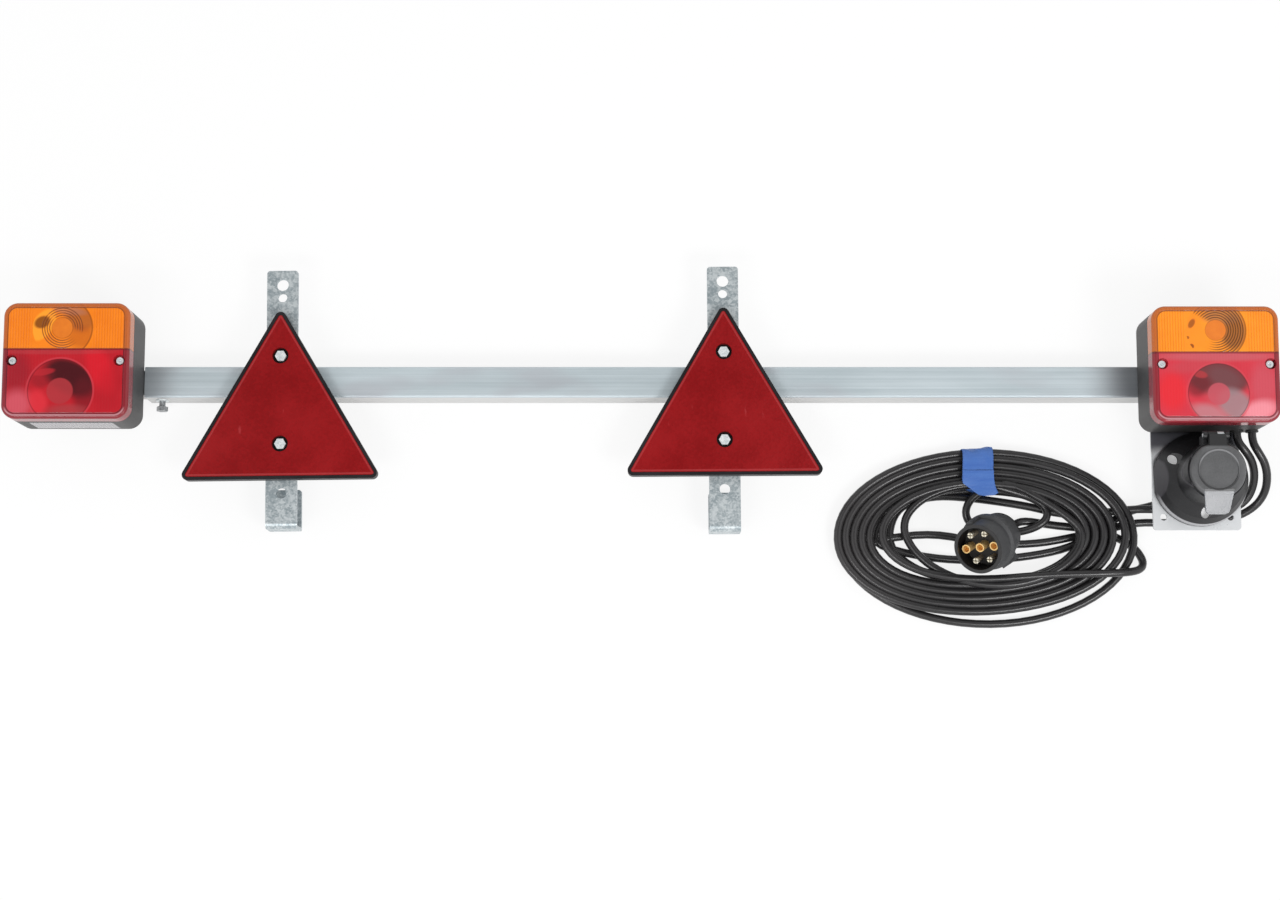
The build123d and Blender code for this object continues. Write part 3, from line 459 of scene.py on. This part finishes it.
def tape_wrap(rows=96, columns=15):
    """A rounded oblong carried along X, with shallow creases.

    Its section is |y/a|^n + |z/b|^n = 1 with n = 2.7, so the sine and the cosine are raised to 2/n, the
    power called oblong. The creases are two slow sine waves along the tape.
    """
    turn = np.linspace(0, 2 * np.pi, rows, endpoint=False)[:, None]
    along = np.linspace(0, 1, columns)[None, :]
    c, s = np.cos(turn), np.sin(turn)
    crease = 0.35 * np.sin(3 * turn + 9 * along) + 0.22 * np.sin(7 * turn - 14 * along)
    upper = -38.8 + 2.2 * along
    lower = np.interp(along, [0.0, 0.5, 0.7, 1.0], [-69.4, -74.6, -75.2, -74.4])
    y = (upper + lower) / 2 + ((upper - lower) / 2 + crease) * np.sign(c) * np.abs(c) ** oblong
    z = bundle_middle + (bundle_half + 0.5 * crease) * np.sign(s) * np.abs(s) ** oblong
    x = tape_left + tape_width * along + 0.5 * np.sin(2 * turn)
    return np.stack([x, y, np.maximum(z, 0.25)], axis=-1) / 1000.0


def tape_tab(rows=25, columns=33):
    """A sheet from the top of the wrap to a pointed lower edge, drooping with the square of the way down."""
    across = np.linspace(0, 1, columns)[None, :]
    down = np.linspace(0, 1, rows)[:, None]
    edge = np.interp(across, [0.0, 0.28, 0.50, 0.66, 0.90, 1.0], [-67.4, -72.6, -77.2, -77.9, -77.3, -75.4])
    x = 259.0 + 25.0 * across + 3.6 * across ** 3 * down ** 3
    y = tab_top + (edge - tab_top) * down
    z = 21.1 - 1.1 * down ** 2 + 0.25 * np.sin(7 * across + 3 * down) * down
    return np.stack([x, y, z], axis=-1) / 1000.0


tape = Finish("blue_tape")
tape_spot = tape.place()
stretch = tape.noise(tape.place(scale=(30.0, 260.0, 260.0)), 1.0, 3.0)
tape_colour = tape.mix(stretch, (0.031, 0.098, 0.370), (0.070, 0.180, 0.490))
tape_grain = tape.bump(tape.noise(tape_spot, 650.0, 3.0) + stretch * 0.8, 0.0004, 0.5)
blue_tape = tape.done(tape.surface(tape_colour, 0.32 + stretch * 0.16, normal=tape_grain))
wrap = show("tape_wrap", grid_mesh("tape_wrap", tape_wrap(), around=True), blue_tape)
tab = show("tape_tab", grid_mesh("tape_tab", tape_tab()), blue_tape)
for piece in (wrap, tab):
    skin = piece.modifiers.new("thickness", "SOLIDIFY")
    skin.thickness = 0.0003
    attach(piece, "board")
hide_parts("coil_tape")
print("tape of", len(wrap.data.polygons) + len(tab.data.polygons), "faces")

# %% [markdown]
# The bar is drawn aluminium tube: bright grey, with fine lines along its length from the die and a few dull
# patches from handling. Noise that is stretched almost two hundred times along X gives the lines. The inner
# arm is painted darker, painted shade from the lamps beside it, and the lower wall of each is painted
# lighter, a painted sheen. Places on the object are easier to read in millimetres, so a Mapping node scales
# the coordinates for them.

# %% Finish of the bar
in_millimetres = (1000.0, 1000.0, 1000.0)


def drawn_aluminium(name, dark, light, roughness, front):
    """Grey metal with die lines along X: stretched noise in the colour, the roughness and a slight bump.

    The wall below the front face is painted lighter and warmer, a painted sheen, and the ends beside the
    lamps lie in their painted shade.
    """
    metal = Finish(name)
    x, _, z = metal.axes(metal.place(scale=in_millimetres))
    lines = metal.noise(metal.place(scale=(2.2, 420.0, 420.0)), 1.0, 4.0, 0.65)
    patches = metal.noise(metal.place(scale=(9.0, 45.0, 45.0)), 1.0, 3.0)
    cast = metal.ramp(metal.noise(metal.place(scale=(11.0, 30.0, 0.0)), 1.0, 2.0), 0.50, 0.70)
    tone = metal.ramp(lines * 0.6 + patches * 0.4, 0.30, 0.70)
    face = metal.mix(cast * 0.55, metal.mix(tone, dark, light), (0.45, 0.46, 0.495))
    # painted sheen: the lower wall of the bar is painted lighter and warmer
    lit_wall = metal.mix(metal.ramp(z, front - 1.4, front - 2.4) * 0.8, face, (0.60, 0.585, 0.57))
    shade = (metal.ramp(x, 352.0, 396.0) * 0.78).hump(metal.ramp(x, -366.0, -396.0) * 0.5)
    colour = metal.mix(shade * metal.ramp(z, front - 1.8, front - 0.8), lit_wall, (0.15, 0.15, 0.165))
    grain = metal.bump(lines, 0.0003, 0.35)
    return metal.done(metal.surface(colour, roughness + patches * 0.18, 0.35, normal=grain))


tube_metal = drawn_aluminium("tube_aluminium", (0.44, 0.51, 0.54), (0.58, 0.65, 0.685), 0.34, 27.0)
# painted shade: the inner arm's colours are darker, for the shade beside the lamps
arm_metal = drawn_aluminium("arm_aluminium", (0.15, 0.154, 0.164), (0.26, 0.265, 0.28), 0.32, 24.5)
wear(tube_metal, "outer_tube")
wear(arm_metal, "sliding_arm")

# %% [markdown]
# The strips, straps and the plate are zinc plated. Fresh zinc shows a faint bluish mottling, cloud on cloud,
# so noise is mixed with small cells. Bolts and screws are plated too and brighter, apart from the clamp bolt,
# which is darker. The small screws also glow a little, a painted glint on their heads. The plate is polished:
# under the lamp its colour is a painted reflection of the lamp's dark wall, and its free lower end is painted
# nearly white, a painted highlight.

# %% Zinc
def zinc(name, dark, light, coarse, roughness, metallic=0.8, foot=None, painted_glint=0.0):
    """Plated steel: clouds and small flecks in the colour, clouds in the roughness, scratches in the bump.

    The plate gives the height of its foot, from which its painted dark reflection and its painted pale end
    are measured, and the small screws a glow, a painted glint that makes their heads shine almost white.
    """
    plated = Finish(name)
    clouds = plated.noise(plated.place(), coarse, 4.0, 0.6)
    flakes = plated.cells(plated.place(), coarse * 5.0, "Color")
    fleck = plated.axes(flakes)[0]
    tone = plated.ramp(clouds * 0.72 + fleck * 0.28, 0.30, 0.68)
    scratch = plated.noise(plated.place(scale=(900.0, 60.0, 900.0)), 1.0, 2.0)
    colour = plated.mix(tone, dark, light)
    if foot is not None:
        up = plated.axes(plated.place(scale=in_millimetres))[1] - foot
        # painted reflection: the plate is darker under the lamp
        colour = plated.mix(plated.ramp(up + clouds * 6.0, 62.0, 73.0), colour, (0.120, 0.122, 0.138))
        # painted highlight: the free lower end of the plate is nearly white
        painted_bright_end = plated.ramp(up, 46.0, 20.0)
        colour = plated.mix(painted_bright_end * 0.9, colour, (0.66, 0.675, 0.69))
        metallic = metallic - painted_bright_end * 0.70
    relief = plated.bump(scratch, 0.0002, 0.25)
    return plated.done(plated.surface(colour, roughness + clouds * 0.2, metallic, normal=relief,
                                      glow=(1.0, 1.0, 1.0, 1.0), glow_strength=painted_glint))


strip_zinc = zinc("zinc_steel", (0.31, 0.365, 0.39), (0.59, 0.635, 0.65), 150.0, 0.32, 0.55)
plate_zinc = zinc("plate_steel", (0.66, 0.685, 0.70), (0.82, 0.84, 0.85), 60.0, 0.20, 0.92, foot=-106.65)
# the glow on the small screws is a painted glint
screw_zinc = zinc("zinc_screw", (0.80, 0.82, 0.83), (0.95, 0.96, 0.97), 300.0, 0.30, 0.15, painted_glint=0.3)
bolt_zinc = zinc("zinc_hardware", (0.60, 0.66, 0.68), (0.86, 0.89, 0.90), 300.0, 0.30, 0.45)
clamp_zinc = zinc("zinc_clamp", (0.20, 0.21, 0.22), (0.42, 0.44, 0.45), 300.0, 0.28, 0.45)
sides = ("left", "right")
wear(strip_zinc, *[side + "_bracket_" + part for side in sides for part in ("strip", "clamp_strap")])
wear(plate_zinc, "socket_plate")
wear(screw_zinc, "socket_screws")
wear(clamp_zinc, "clamp_bolt")
wear(bolt_zinc, "clamp_insert", "socket_lid_pin", "socket_lid_spring",
     *[side + part for side in sides for part in
       ("_bracket_bolts", "_bracket_nuts", "_lamp_lens_screws", "_lamp_fixing_screws")])

# %% [markdown]
# Lamp bases, socket, plug and caps are moulded in black plastic with a fine spark-eroded texture, matt on
# the bases and a little shinier on the socket's lid, which fingers have polished.

# %% Black plastics
class Moulding(Finish):
    """Textured moulding: fine noise in the bump, slow noise in colour and roughness."""

    def __init__(self, name, dark, light):
        super().__init__(name)
        where = self.place()
        self.slow = self.noise(where, 38.0, 3.0)
        self.texture = self.noise(where, 900.0, 3.0, 0.6)
        self.colour = self.mix(self.ramp(self.slow * 0.7 + self.texture * 0.3, 0.3, 0.7), dark, light)

    def made(self, roughness, specular=0.5):
        """The finished material, with any colours that were laid over the plain one."""
        grain = self.bump(self.texture, 0.00018, 0.6)
        uneven = roughness + self.slow * 0.16
        return self.done(self.surface(self.colour, uneven, normal=grain, specular=specular))


base_black = Moulding("base_plastic", (0.028, 0.027, 0.027), (0.054, 0.052, 0.052)).made(0.42)
carrier_black = Moulding("carrier_plastic", (0.007, 0.006, 0.007), (0.016, 0.014, 0.016)).made(0.34, 0.25)
rubber_black = Moulding("rubber", (0.014, 0.014, 0.014), (0.026, 0.026, 0.026)).made(0.6)
insert_black = Moulding("insert_plastic", (0.006, 0.005, 0.005), (0.014, 0.012, 0.011)).made(0.5)
wear(base_black, "left_lamp_base", "right_lamp_base", "outer_tube_cap", "sliding_arm_cap")
wear(insert_black, "plug_insert", "socket_insert")
wear(carrier_black, "left_reflector_carrier", "right_reflector_carrier")
wear(rubber_black, "left_lamp_seal", "right_lamp_seal", "socket_gasket", "plate_grommet",
     "right_lamp_cable_grommets", "left_lamp_bulb_holders", "right_lamp_bulb_holders")

# %% [markdown]
# The socket is black too, but its faces do not catch the light alike, and that light is painted into the
# colour. The flat on its left is painted paler, painted light on that face, and the lower edge of its flange
# carries a painted highlight. The lid is a lighter grey, a painted sheen on its flat top, and its raised ring
# has a painted highlight above and painted shade below. Its tongue is painted paler still, a painted sheen,
# and is glossier. The strap of the lid at the hinge is near black. Distances from the socket's axis find the
# edge of the flange and the raised ring of the lid, and a slanted plane finds the flat.

# %% Socket and lid
socket_axis = (0.446, -0.06635, 0.029)
flange_radius, lid_ring_radius, flat_lean = 37.1, 15.5, radians(20.0)
body_black = Moulding("socket_plastic", (0.008, 0.008, 0.009), (0.018, 0.018, 0.020))
x, y, z = body_black.axes(body_black.place(centre=socket_axis, scale=in_millimetres))
# painted light: the flat on the socket's left is painted paler, for the light on that face
lit_flat = body_black.ramp(abs((x + 36.0) * cos(flat_lean) - (z - 1.5) * sin(flat_lean)), 0.8, 0.3)
lower_front = body_black.ramp(y, -8.0, -24.0) * body_black.ramp(z, 3.4, 4.2)
# painted highlight along the lower edge of the flange
edge = body_black.ramp(abs(body_black.distance(x, y) - flange_radius), 0.8, 0.3) * lower_front
body_black.colour = body_black.mix(lit_flat, body_black.colour, (0.048, 0.046, 0.052))
body_black.colour = body_black.mix(edge * 0.7, body_black.colour, (0.50, 0.50, 0.52))
wear(body_black.made(0.30, 0.4), "socket_body")

# the lid's lighter grey is a painted sheen on its flat top
lid_grey = Moulding("lid_plastic", (0.066, 0.067, 0.069), (0.108, 0.109, 0.113))
x, y = lid_grey.axes(lid_grey.place(centre=socket_axis, scale=in_millimetres))[:2]
ring = lid_grey.ramp(abs(lid_grey.distance(x, y) - lid_ring_radius), 1.0, 0.5)
# painted sheen on the tongue of the lid, which is also glossier
tongue = lid_grey.ramp(y, -16.2, -17.2) * lid_grey.ramp(abs(x) - y * 0.12, 14.4, 13.8)
strap = lid_grey.ramp(y, 17.5, 19.5)
# painted highlight on the upper half of the lid's raised ring and painted shade on its lower half
lit_ring = ring * lid_grey.ramp(y, 1.0, 9.0) * 0.7
shaded_ring = ring * lid_grey.ramp(y, -1.0, -9.0) * 0.7
lid_grey.colour = lid_grey.mix(lit_ring, lid_grey.colour, (0.26, 0.26, 0.27))
lid_grey.colour = lid_grey.mix(shaded_ring, lid_grey.colour, (0.016, 0.016, 0.017))
lid_grey.colour = lid_grey.mix(tongue, lid_grey.colour, (0.150, 0.156, 0.168))
lid_grey.colour = lid_grey.mix(strap, lid_grey.colour, (0.012, 0.012, 0.013))
wear(lid_grey.made(0.34 - tongue * 0.14), "socket_lid")
print("socket and lid finished")

# %% [markdown]
# The plug is dark grey, with a darker face, and its mouth is painted black, painted shade inside it. Its
# contacts are turned brass: three yellow sleeves on one line, and four split pins that are tinned and much
# paler, with shanks painted darker down in the mouth, painted shade. The contacts share one node, so their
# colour asks where on the plug's face a point lies. Two Mapping nodes turn the board's axes into the plug's
# for that.

# %% Plug and contacts
plug_nose = (0.2636, -0.125, 0.055)
plug_heading, plug_fall, plug_roll = radians(214.0), radians(43.0), radians(145.0)
sleeve_line, mouth_radius = radians(10.0), 18.2


def plug_axes(finish):
    """Millimetres across, up and out of the plug's nose."""
    nose = finish.place(centre=plug_nose, turn=(0.0, 0.0, -plug_heading), scale=in_millimetres)
    turned = {"Vector": nose, "Rotation": (0.0, -plug_fall, -plug_roll)}
    return finish.axes(finish.node("ShaderNodeMapping", {"vector_type": "POINT"}, turned))


plug_grey = Moulding("plug_plastic", (0.030, 0.031, 0.033), (0.052, 0.053, 0.056))
x, y, z = plug_axes(plug_grey)
in_mouth = plug_grey.ramp(plug_grey.distance(x, y), mouth_radius, mouth_radius - 0.6)
# painted shade: the inside of the mouth is painted near black
shaded_mouth = in_mouth * plug_grey.ramp(z, -0.2, -1.2)
nose_face = plug_grey.ramp(z, -1.0, -0.4) * 0.7
plug_grey.colour = plug_grey.mix(shaded_mouth.hump(nose_face), plug_grey.colour, (0.006, 0.005, 0.005))
wear(plug_grey.made(0.42 - shaded_mouth * 0.1), "plug_housing", "plug_gland")


def turned_brass(name, in_plug):
    """Brass contacts; in the plug, those off the line of the three sleeves are tinned, with shanks painted
    dark, painted shade down in the mouth.
    """
    brass = Finish(name)
    tarnish = brass.noise(brass.place(), 420.0, 3.0)
    colour = brass.mix(tarnish, (0.70, 0.62, 0.46), (0.96, 0.92, 0.78))
    if in_plug:
        x, y, z = plug_axes(brass)
        off_line = abs(y * cos(sleeve_line) - x * sin(sleeve_line))
        yellow = brass.mix(tarnish, (0.78, 0.45, 0.15), (0.98, 0.74, 0.34))
        pins = brass.ramp(off_line, 4.4, 5.4)
        # painted shade: the pins' shanks darken down in the mouth
        tinned = brass.mix(brass.ramp(z, -5.0, -8.5) * 0.7, colour, (0.12, 0.070, 0.030))
        colour = brass.mix(pins, yellow, tinned)
    return brass.done(brass.surface(colour, 0.24 + tarnish * 0.2, 0.55))


wear(turned_brass("plug_brass", True), "plug_contacts")
wear(turned_brass("socket_brass", False), "socket_contacts")

# %% [markdown]
# A triangular reflector is a sheet of red plastic with thousands of tiny corner prisms on its back. From the
# front it looks deep red and even, because prisms send light back only to where it came from. A faint
# grain of small Voronoi cells is enough, with a few pale scuffs and a painted highlight, a bright thin line
# where the edge is bevelled.

# %% Reflectors
reflector_tip, reflector_foot, bevel_inset = 39.96, -99.9, 3.9
sixty = radians(60.0)


def prism_red(side, bolt, skew):
    """Deep red with faint prism cells; the line follows the least distance to the triangle's three sides."""
    red = Finish(side + "_reflector_red")
    where = red.place(centre=bolt, scale=in_millimetres, turn=(0.0, 0.0, radians(-skew)))
    x, y = red.axes(where)[:2]
    inset = (y - reflector_foot).dip((reflector_tip - y) * cos(sixty) - abs(x) * sin(sixty))
    grain = red.axes(red.cells(where, 0.55, "Color"))[0]
    slow = red.noise(where, 0.022, 3.0)
    tone = red.ramp(grain * 0.16 + slow * 0.84, 0.28, 0.72)
    plain = red.mix(tone, (0.198, 0.0029, 0.0043), (0.272, 0.0053, 0.0074))
    scuff = red.ramp(red.noise(red.place(scale=(140.0, 46.0, 90.0)), 1.0, 4.0, 0.6), 0.69, 0.78)
    marked = red.mix(scuff * 0.32, plain, (0.46, 0.060, 0.066))
    # painted highlight: a bright thin line along the bevelled edge
    bevel_highlight = red.ramp(abs(inset - bevel_inset), 0.9, 0.35)
    colour = red.mix(bevel_highlight * 0.38, marked, (0.50, 0.055, 0.060))
    facets = red.bump(red.cells(where, 0.55) - bevel_highlight * 2.0, 0.0002, 0.2)
    return red.done(red.surface(colour, 0.20 + slow * 0.10, normal=facets, specular=0.42))


for side, bolt, skew in (("left", (-0.28734, 0.03295, 0.0), 0.7), ("right", (0.06694, 0.03635, 0.0), 0.4)):
    wear(prism_red(side, bolt, skew), side + "_reflector_lens")

# %% [markdown]
# Each lamp has an amber lens above a red one, moulded with optics on the inside: upright flutes at the sides,
# rings round a plain disc in the amber lens, and a large circle with a disc in the red one.
# Where the plastic is plain the eye looks through it at the bulb holder and the dark chamber, and elsewhere
# the flutes scatter the light and the colour is full. Clear plastic over real chambers would show this by
# itself but would need the chambers' exact shapes. Here each lens is a picture in its own plane instead:
# ovals for the things behind it, which paint the chamber's shade and lit parts, ovals of painted sheen and
# reflection on the front, distances from the discs for rings and circles, and the distance inside the outline
# for the border that is moulded round it. A painted highlight runs along the foot of each red lens.

# %% Plane of a lens
lamp_half, lamp_corner = (49.5, 46.0), 11.0
lamp_places = {"left": (-0.448, 0.02125, 0.0), "right": (0.448, 0.01755, 0.0)}


def lens_plane(finish, side):
    """X and Y over one lamp in millimetres, and how far inside its rounded outline a point lies."""
    x, y = finish.axes(finish.place(centre=lamp_places[side], scale=in_millimetres))[:2]
    across = abs(x) - (lamp_half[0] - lamp_corner)
    up = abs(y) - (lamp_half[1] - lamp_corner)
    corner = finish.distance(across.hump(0.0), up.hump(0.0))
    return x, y, lamp_corner - corner - across.hump(up).dip(0.0)


def paint(finish, colour, x, y, spots, within=1.0):
    """Lays ovals over a colour: each has a middle, half sizes, a lean, a softness, a share and a colour."""
    for middle, size, lean, soft, share, tint in spots:
        colour = finish.mix(finish.patch(x, y, middle, size, lean, soft) * within * share, colour, tint)
    return colour


print("lens of", [2 * half for half in lamp_half], "mm")

# %% Amber lenses
lens_gloss = {"coat": 0.15, "coat_roughness": 0.05, "specular": 0.32}
lens_border = 4.1
optic_radius, plain_radius = 23.4, 8.2
amber_disc = {"left": (-3.0, 25.7), "right": (0.0, 26.6)}
ring_side = {"left": (-0.80, -0.60), "right": (0.90, -0.30)}
ring_reach = {"left": (17.2, (0.16, 0.036, 0.008)), "right": (23.0, (0.060, 0.019, 0.005))}
amber_field = {"left": ((0.80, 0.180, 0.010), (0.93, 0.258, 0.016)),
               "right": ((0.84, 0.225, 0.012), (0.97, 0.320, 0.018))}
# ovals behind the amber lenses: the chamber's painted shade and lit parts, and on the left lens a painted
# sheen at the top
amber_behind_and_sheen = {
    "left": [((11.0, 32.5), (13.0, 9.5), 0, 0.7, 0.64, (0.26, 0.070, 0.022)),
             ((12.0, 18.5), (11.0, 9.0), 0, 0.8, 0.55, (0.42, 0.082, 0.012)),
             ((2.0, 39.5), (13.0, 3.2), -8, 0.8, 0.50, (0.42, 0.180, 0.120)),
             ((-18.3, 28.0), (8.2, 14.0), -33, 0.25, 0.80, (1.00, 0.360, 0.030)),
             ((-18.9, 30.3), (6.3, 4.6), 25, 0.5, 0.85, (0.150, 0.036, 0.006))],
    "right": [((14.0, 25.0), (9.5, 14.0), 0, 0.6, 0.80, (0.25, 0.088, 0.024)),
              ((5.5, 37.5), (15.0, 6.5), 0, 0.7, 0.70, (0.36, 0.140, 0.052)),
              ((-18.5, 25.0), (9.0, 13.5), 15, 0.5, 0.45, (0.95, 0.240, 0.016)),
              ((-18.6, 31.8), (2.2, 4.0), -30, 0.6, 0.75, (0.20, 0.045, 0.008)),
              ((-22.6, 20.6), (2.0, 1.4), 0, 0.6, 0.75, (0.20, 0.045, 0.008)),
              ((-19.0, 13.8), (1.8, 2.0), 30, 0.6, 0.80, (0.15, 0.030, 0.006))]}


def amber_lens(side):
    """Amber plastic: flutes at the sides, a lit and a dark half of the optic, thin rings and a plain disc."""
    amber = Finish(side + "_amber_lens")
    x, y, inset = lens_plane(amber, side)
    disc_x, disc_y = amber_disc[side]
    across, up = x - disc_x, y - disc_y
    far = amber.distance(across, up)
    toward = across * ring_side[side][0] + up * ring_side[side][1]
    optic = amber.ramp(far, optic_radius + 0.2, optic_radius - 0.6)
    flutes = x.wave(2.1) ** 3 * amber.ramp(abs(across), 22.0, 27.0)
    reach, tint = ring_reach[side]
    turned = amber.ramp(toward, -4.0, 7.0).hump(amber.ramp(up + across * 0.5, 3.0, 7.0))
    outside_disc = amber.ramp(far, plain_radius - 0.2, plain_radius + 0.8)
    rings = far.wave(1.9) ** 1.4 * amber.ramp(far, reach, reach - 1.5) * outside_disc * turned
    rim = amber.ramp(abs(far - optic_radius), 0.9, 0.3) * amber.ramp(across, 4.0, 14.0)
    cloud = amber.noise(amber.place(), 75.0, 3.0)
    field = amber.mix(cloud, *amber_field[side])
    fluted = amber.mix(flutes * 0.45, field, (0.62, 0.110, 0.006))
    lit = paint(amber, fluted, x, y, amber_behind_and_sheen[side], optic)
    ringed = amber.mix((rings * 0.88).hump(rim * 0.6), lit, tint)
    disc = amber.mix(amber.noise(amber.place(), 140.0, 2.0), (0.61, 0.142, 0.016), (0.80, 0.222, 0.024))
    plain = amber.mix(amber.ramp(far, plain_radius, plain_radius - 0.6), ringed, disc)
    outline = amber.ramp(abs(far - plain_radius), 0.55, 0.15) * 0.45
    outlined = amber.mix(outline, plain, (0.30, 0.070, 0.010))
    edging = amber.ramp(inset, lens_border, lens_border - 0.6) * 0.85
    border = amber.mix(edging, outlined, (0.41, 0.098, 0.025))
    split = amber.ramp(y, 10.1, 9.4)
    groove = amber.ramp(abs(inset - lens_border), 0.65, 0.2).hump(split)
    colour = amber.mix(groove * 0.78, border, (0.13, 0.026, 0.010))
    relief = amber.bump(flutes * 0.5 + rings * 0.6 - groove * 0.8, 0.0004, 0.5)
    return amber.done(amber.surface(colour, 0.17 + cloud * 0.06, normal=relief, **lens_gloss))


wear(amber_lens("left"), "left_lamp_amber_lens")
wear(amber_lens("right"), "right_lamp_amber_lens")

# %% Red lenses
red_circle = {"left": (-3.6, -24.3, 26.2), "right": (1.0, -23.8, 24.8)}
red_field = {"left": ((0.40, 0.010, 0.018), (0.53, 0.018, 0.028)),
             "right": ((0.52, 0.024, 0.042), (0.64, 0.042, 0.066))}
# painted sheens and reflections on the red lenses, with lighter and darker patches of the field
red_sheens_and_tones = {
    "left": [((27.0, -6.0), (9.0, 20.0), 22, 0.9, 0.80, (0.66, 0.014, 0.026)),
             ((-38.0, -10.0), (11.0, 16.0), 0, 1.0, 0.70, (0.27, 0.014, 0.024)),
             ((-36.5, -35.0), (11.0, 11.0), -35, 1.1, 0.75, (0.62, 0.105, 0.140)),
             ((36.0, -24.0), (10.0, 18.0), 0, 1.0, 0.40, (0.40, 0.012, 0.020)),
             ((-8.0, 6.5), (44.0, 1.8), 0, 0.8, 0.35, (0.42, 0.060, 0.070))],
    "right": [((-35.0, -22.0), (11.0, 15.0), 0, 0.9, 0.85, (0.72, 0.019, 0.029)),
              ((36.0, -17.0), (10.0, 18.0), 0, 1.0, 0.65, (0.54, 0.085, 0.115)),
              ((32.0, -37.0), (14.0, 7.5), 12, 1.0, 0.85, (0.83, 0.290, 0.340)),
              ((0.0, 5.6), (46.0, 3.6), 0, 1.0, 0.70, (0.52, 0.110, 0.130)),
              ((-20.0, -2.0), (17.0, 5.0), 8, 1.0, 0.40, (0.50, 0.070, 0.090))]}
# ovals behind the red lenses: the chamber's painted shade and lit parts; the pale ovals low on the right lens
# are painted sheen
red_behind_and_sheen = {
    "left": [((4.5, -13.5), (22.0, 13.0), -28, 0.55, 0.95, (0.046, 0.007, 0.010)),
             ((15.0, -27.0), (8.0, 13.0), 0, 0.9, 0.60, (0.120, 0.010, 0.015)),
             ((-17.0, -14.0), (9.0, 7.0), 30, 0.8, 0.45, (0.170, 0.012, 0.018)),
             ((-16.5, -9.3), (8.5, 2.6), 10, 0.5, 0.70, (0.46, 0.020, 0.030)),
             ((-20.5, -33.0), (7.0, 9.5), 20, 0.8, 0.85, (0.66, 0.030, 0.044)),
             ((3.0, -40.0), (16.0, 5.0), 0, 1.0, 0.60, (0.33, 0.052, 0.058))],
    "right": [((1.0, -10.0), (25.0, 15.0), -6, 0.35, 0.92, (0.125, 0.034, 0.038)),
              ((6.0, -11.0), (13.0, 7.0), -25, 0.8, 0.45, (0.150, 0.070, 0.076)),
              ((-14.5, -17.5), (9.5, 8.0), 25, 0.8, 0.70, (0.140, 0.010, 0.016)),
              ((-13.0, -8.4), (5.5, 2.8), -12, 0.5, 0.75, (0.42, 0.034, 0.040)),
              ((0.0, -27.0), (10.0, 8.0), 0, 1.0, 0.60, (0.50, 0.070, 0.090)),
              ((13.5, -32.0), (14.5, 11.0), -35, 0.6, 0.85, (0.30, 0.205, 0.220)),
              ((-7.0, -39.0), (14.0, 6.5), -15, 1.0, 0.75, (0.46, 0.210, 0.235))]}
red_disc = {"left": (10.4, (0.40, 0.036, 0.044)), "right": (8.8, (0.50, 0.078, 0.104))}


def red_lens(side):
    """Red plastic: a field with painted sheens, a large plain circle through which the dark chamber shows,
    and a painted highlight along the foot.
    """
    red = Finish(side + "_red_lens")
    x, y, inset = lens_plane(red, side)
    circle_x, circle_y, radius = red_circle[side]
    far = red.distance(x - circle_x, y - circle_y)
    circle = red.ramp(far, radius - 0.3, radius - 1.3)
    flutes = x.wave(2.3) ** 2 * (1 - circle)
    cloud = red.noise(red.place(), 70.0, 3.0)
    field = paint(red, red.mix(cloud, *red_field[side]), x, y, red_sheens_and_tones[side])
    fluted = red.mix(flutes * 0.05, field, (0.28, 0.008, 0.014))
    inside = paint(red, fluted, x, y, red_behind_and_sheen[side], circle)
    disc_radius, disc_tint = red_disc[side]
    disc = red.mix(red.ramp(far, disc_radius + 0.5, disc_radius - 0.8) * 0.85, inside, disc_tint)
    ringed = red.mix(red.ramp(abs(far - radius), 1.0, 0.3) * 0.5, disc, (0.58, 0.060, 0.080))
    rim = red.mix(red.ramp(abs(far - radius + 1.2), 0.6, 0.2) * 0.5, ringed, (0.12, 0.010, 0.016))
    edging = red.ramp(inset, lens_border, lens_border - 0.7) * 0.85
    border = red.mix(edging, rim, (0.19, 0.022, 0.030))
    split = red.ramp(y, 7.6, 8.4) * 0.7
    groove = red.ramp(abs(inset - lens_border - 0.1), 0.65, 0.2).hump(split)
    cut = red.mix(groove * 0.80, border, (0.060, 0.008, 0.014))
    # painted highlight along the foot of the red lens
    foot = red.ramp(abs(inset - 2.7), 0.8, 0.3) * red.ramp(y, -36.0, -40.0)
    colour = red.mix(foot * 0.75, cut, (0.56, 0.300, 0.330))
    relief = red.bump(flutes * 0.1 - groove * 0.8, 0.0004, 0.5)
    return red.done(red.surface(colour, 0.15 + cloud * 0.06, normal=relief, **lens_gloss))


wear(red_lens("left"), "left_lamp_red_lens")
wear(red_lens("right"), "right_lamp_red_lens")

# %% [markdown]
# Under the left lamp a window of clear plastic lets white light down to the number plate. The bulbs behind
# the lenses are plain glass.

# %% Clear plastic and glass
clear = Finish("clear_plastic")
ribs = clear.axes(clear.place())[0].wave(0.0030)
window_colour = clear.mix(ribs * 0.5, (0.36, 0.34, 0.36), (0.52, 0.50, 0.52))
window_ribs = clear.bump(ribs, 0.0004, 0.5)
clear_window = clear.done(clear.surface(window_colour, 0.22, normal=window_ribs, through=0.35, ior=1.49))
glass = Finish("bulb_glass")
smoke = glass.noise(glass.place(), 120.0)
glass_colour = glass.mix(smoke, (0.86, 0.85, 0.82), (0.95, 0.94, 0.92))
bulb_glass = glass.done(glass.surface(glass_colour, 0.05, through=0.9, ior=1.45))
wear(clear_window, "left_lamp_plate_window")
wear(bulb_glass, *[side + "_lamp_" + bulb for side in sides for bulb in ("indicator_bulb", "tail_bulb")])
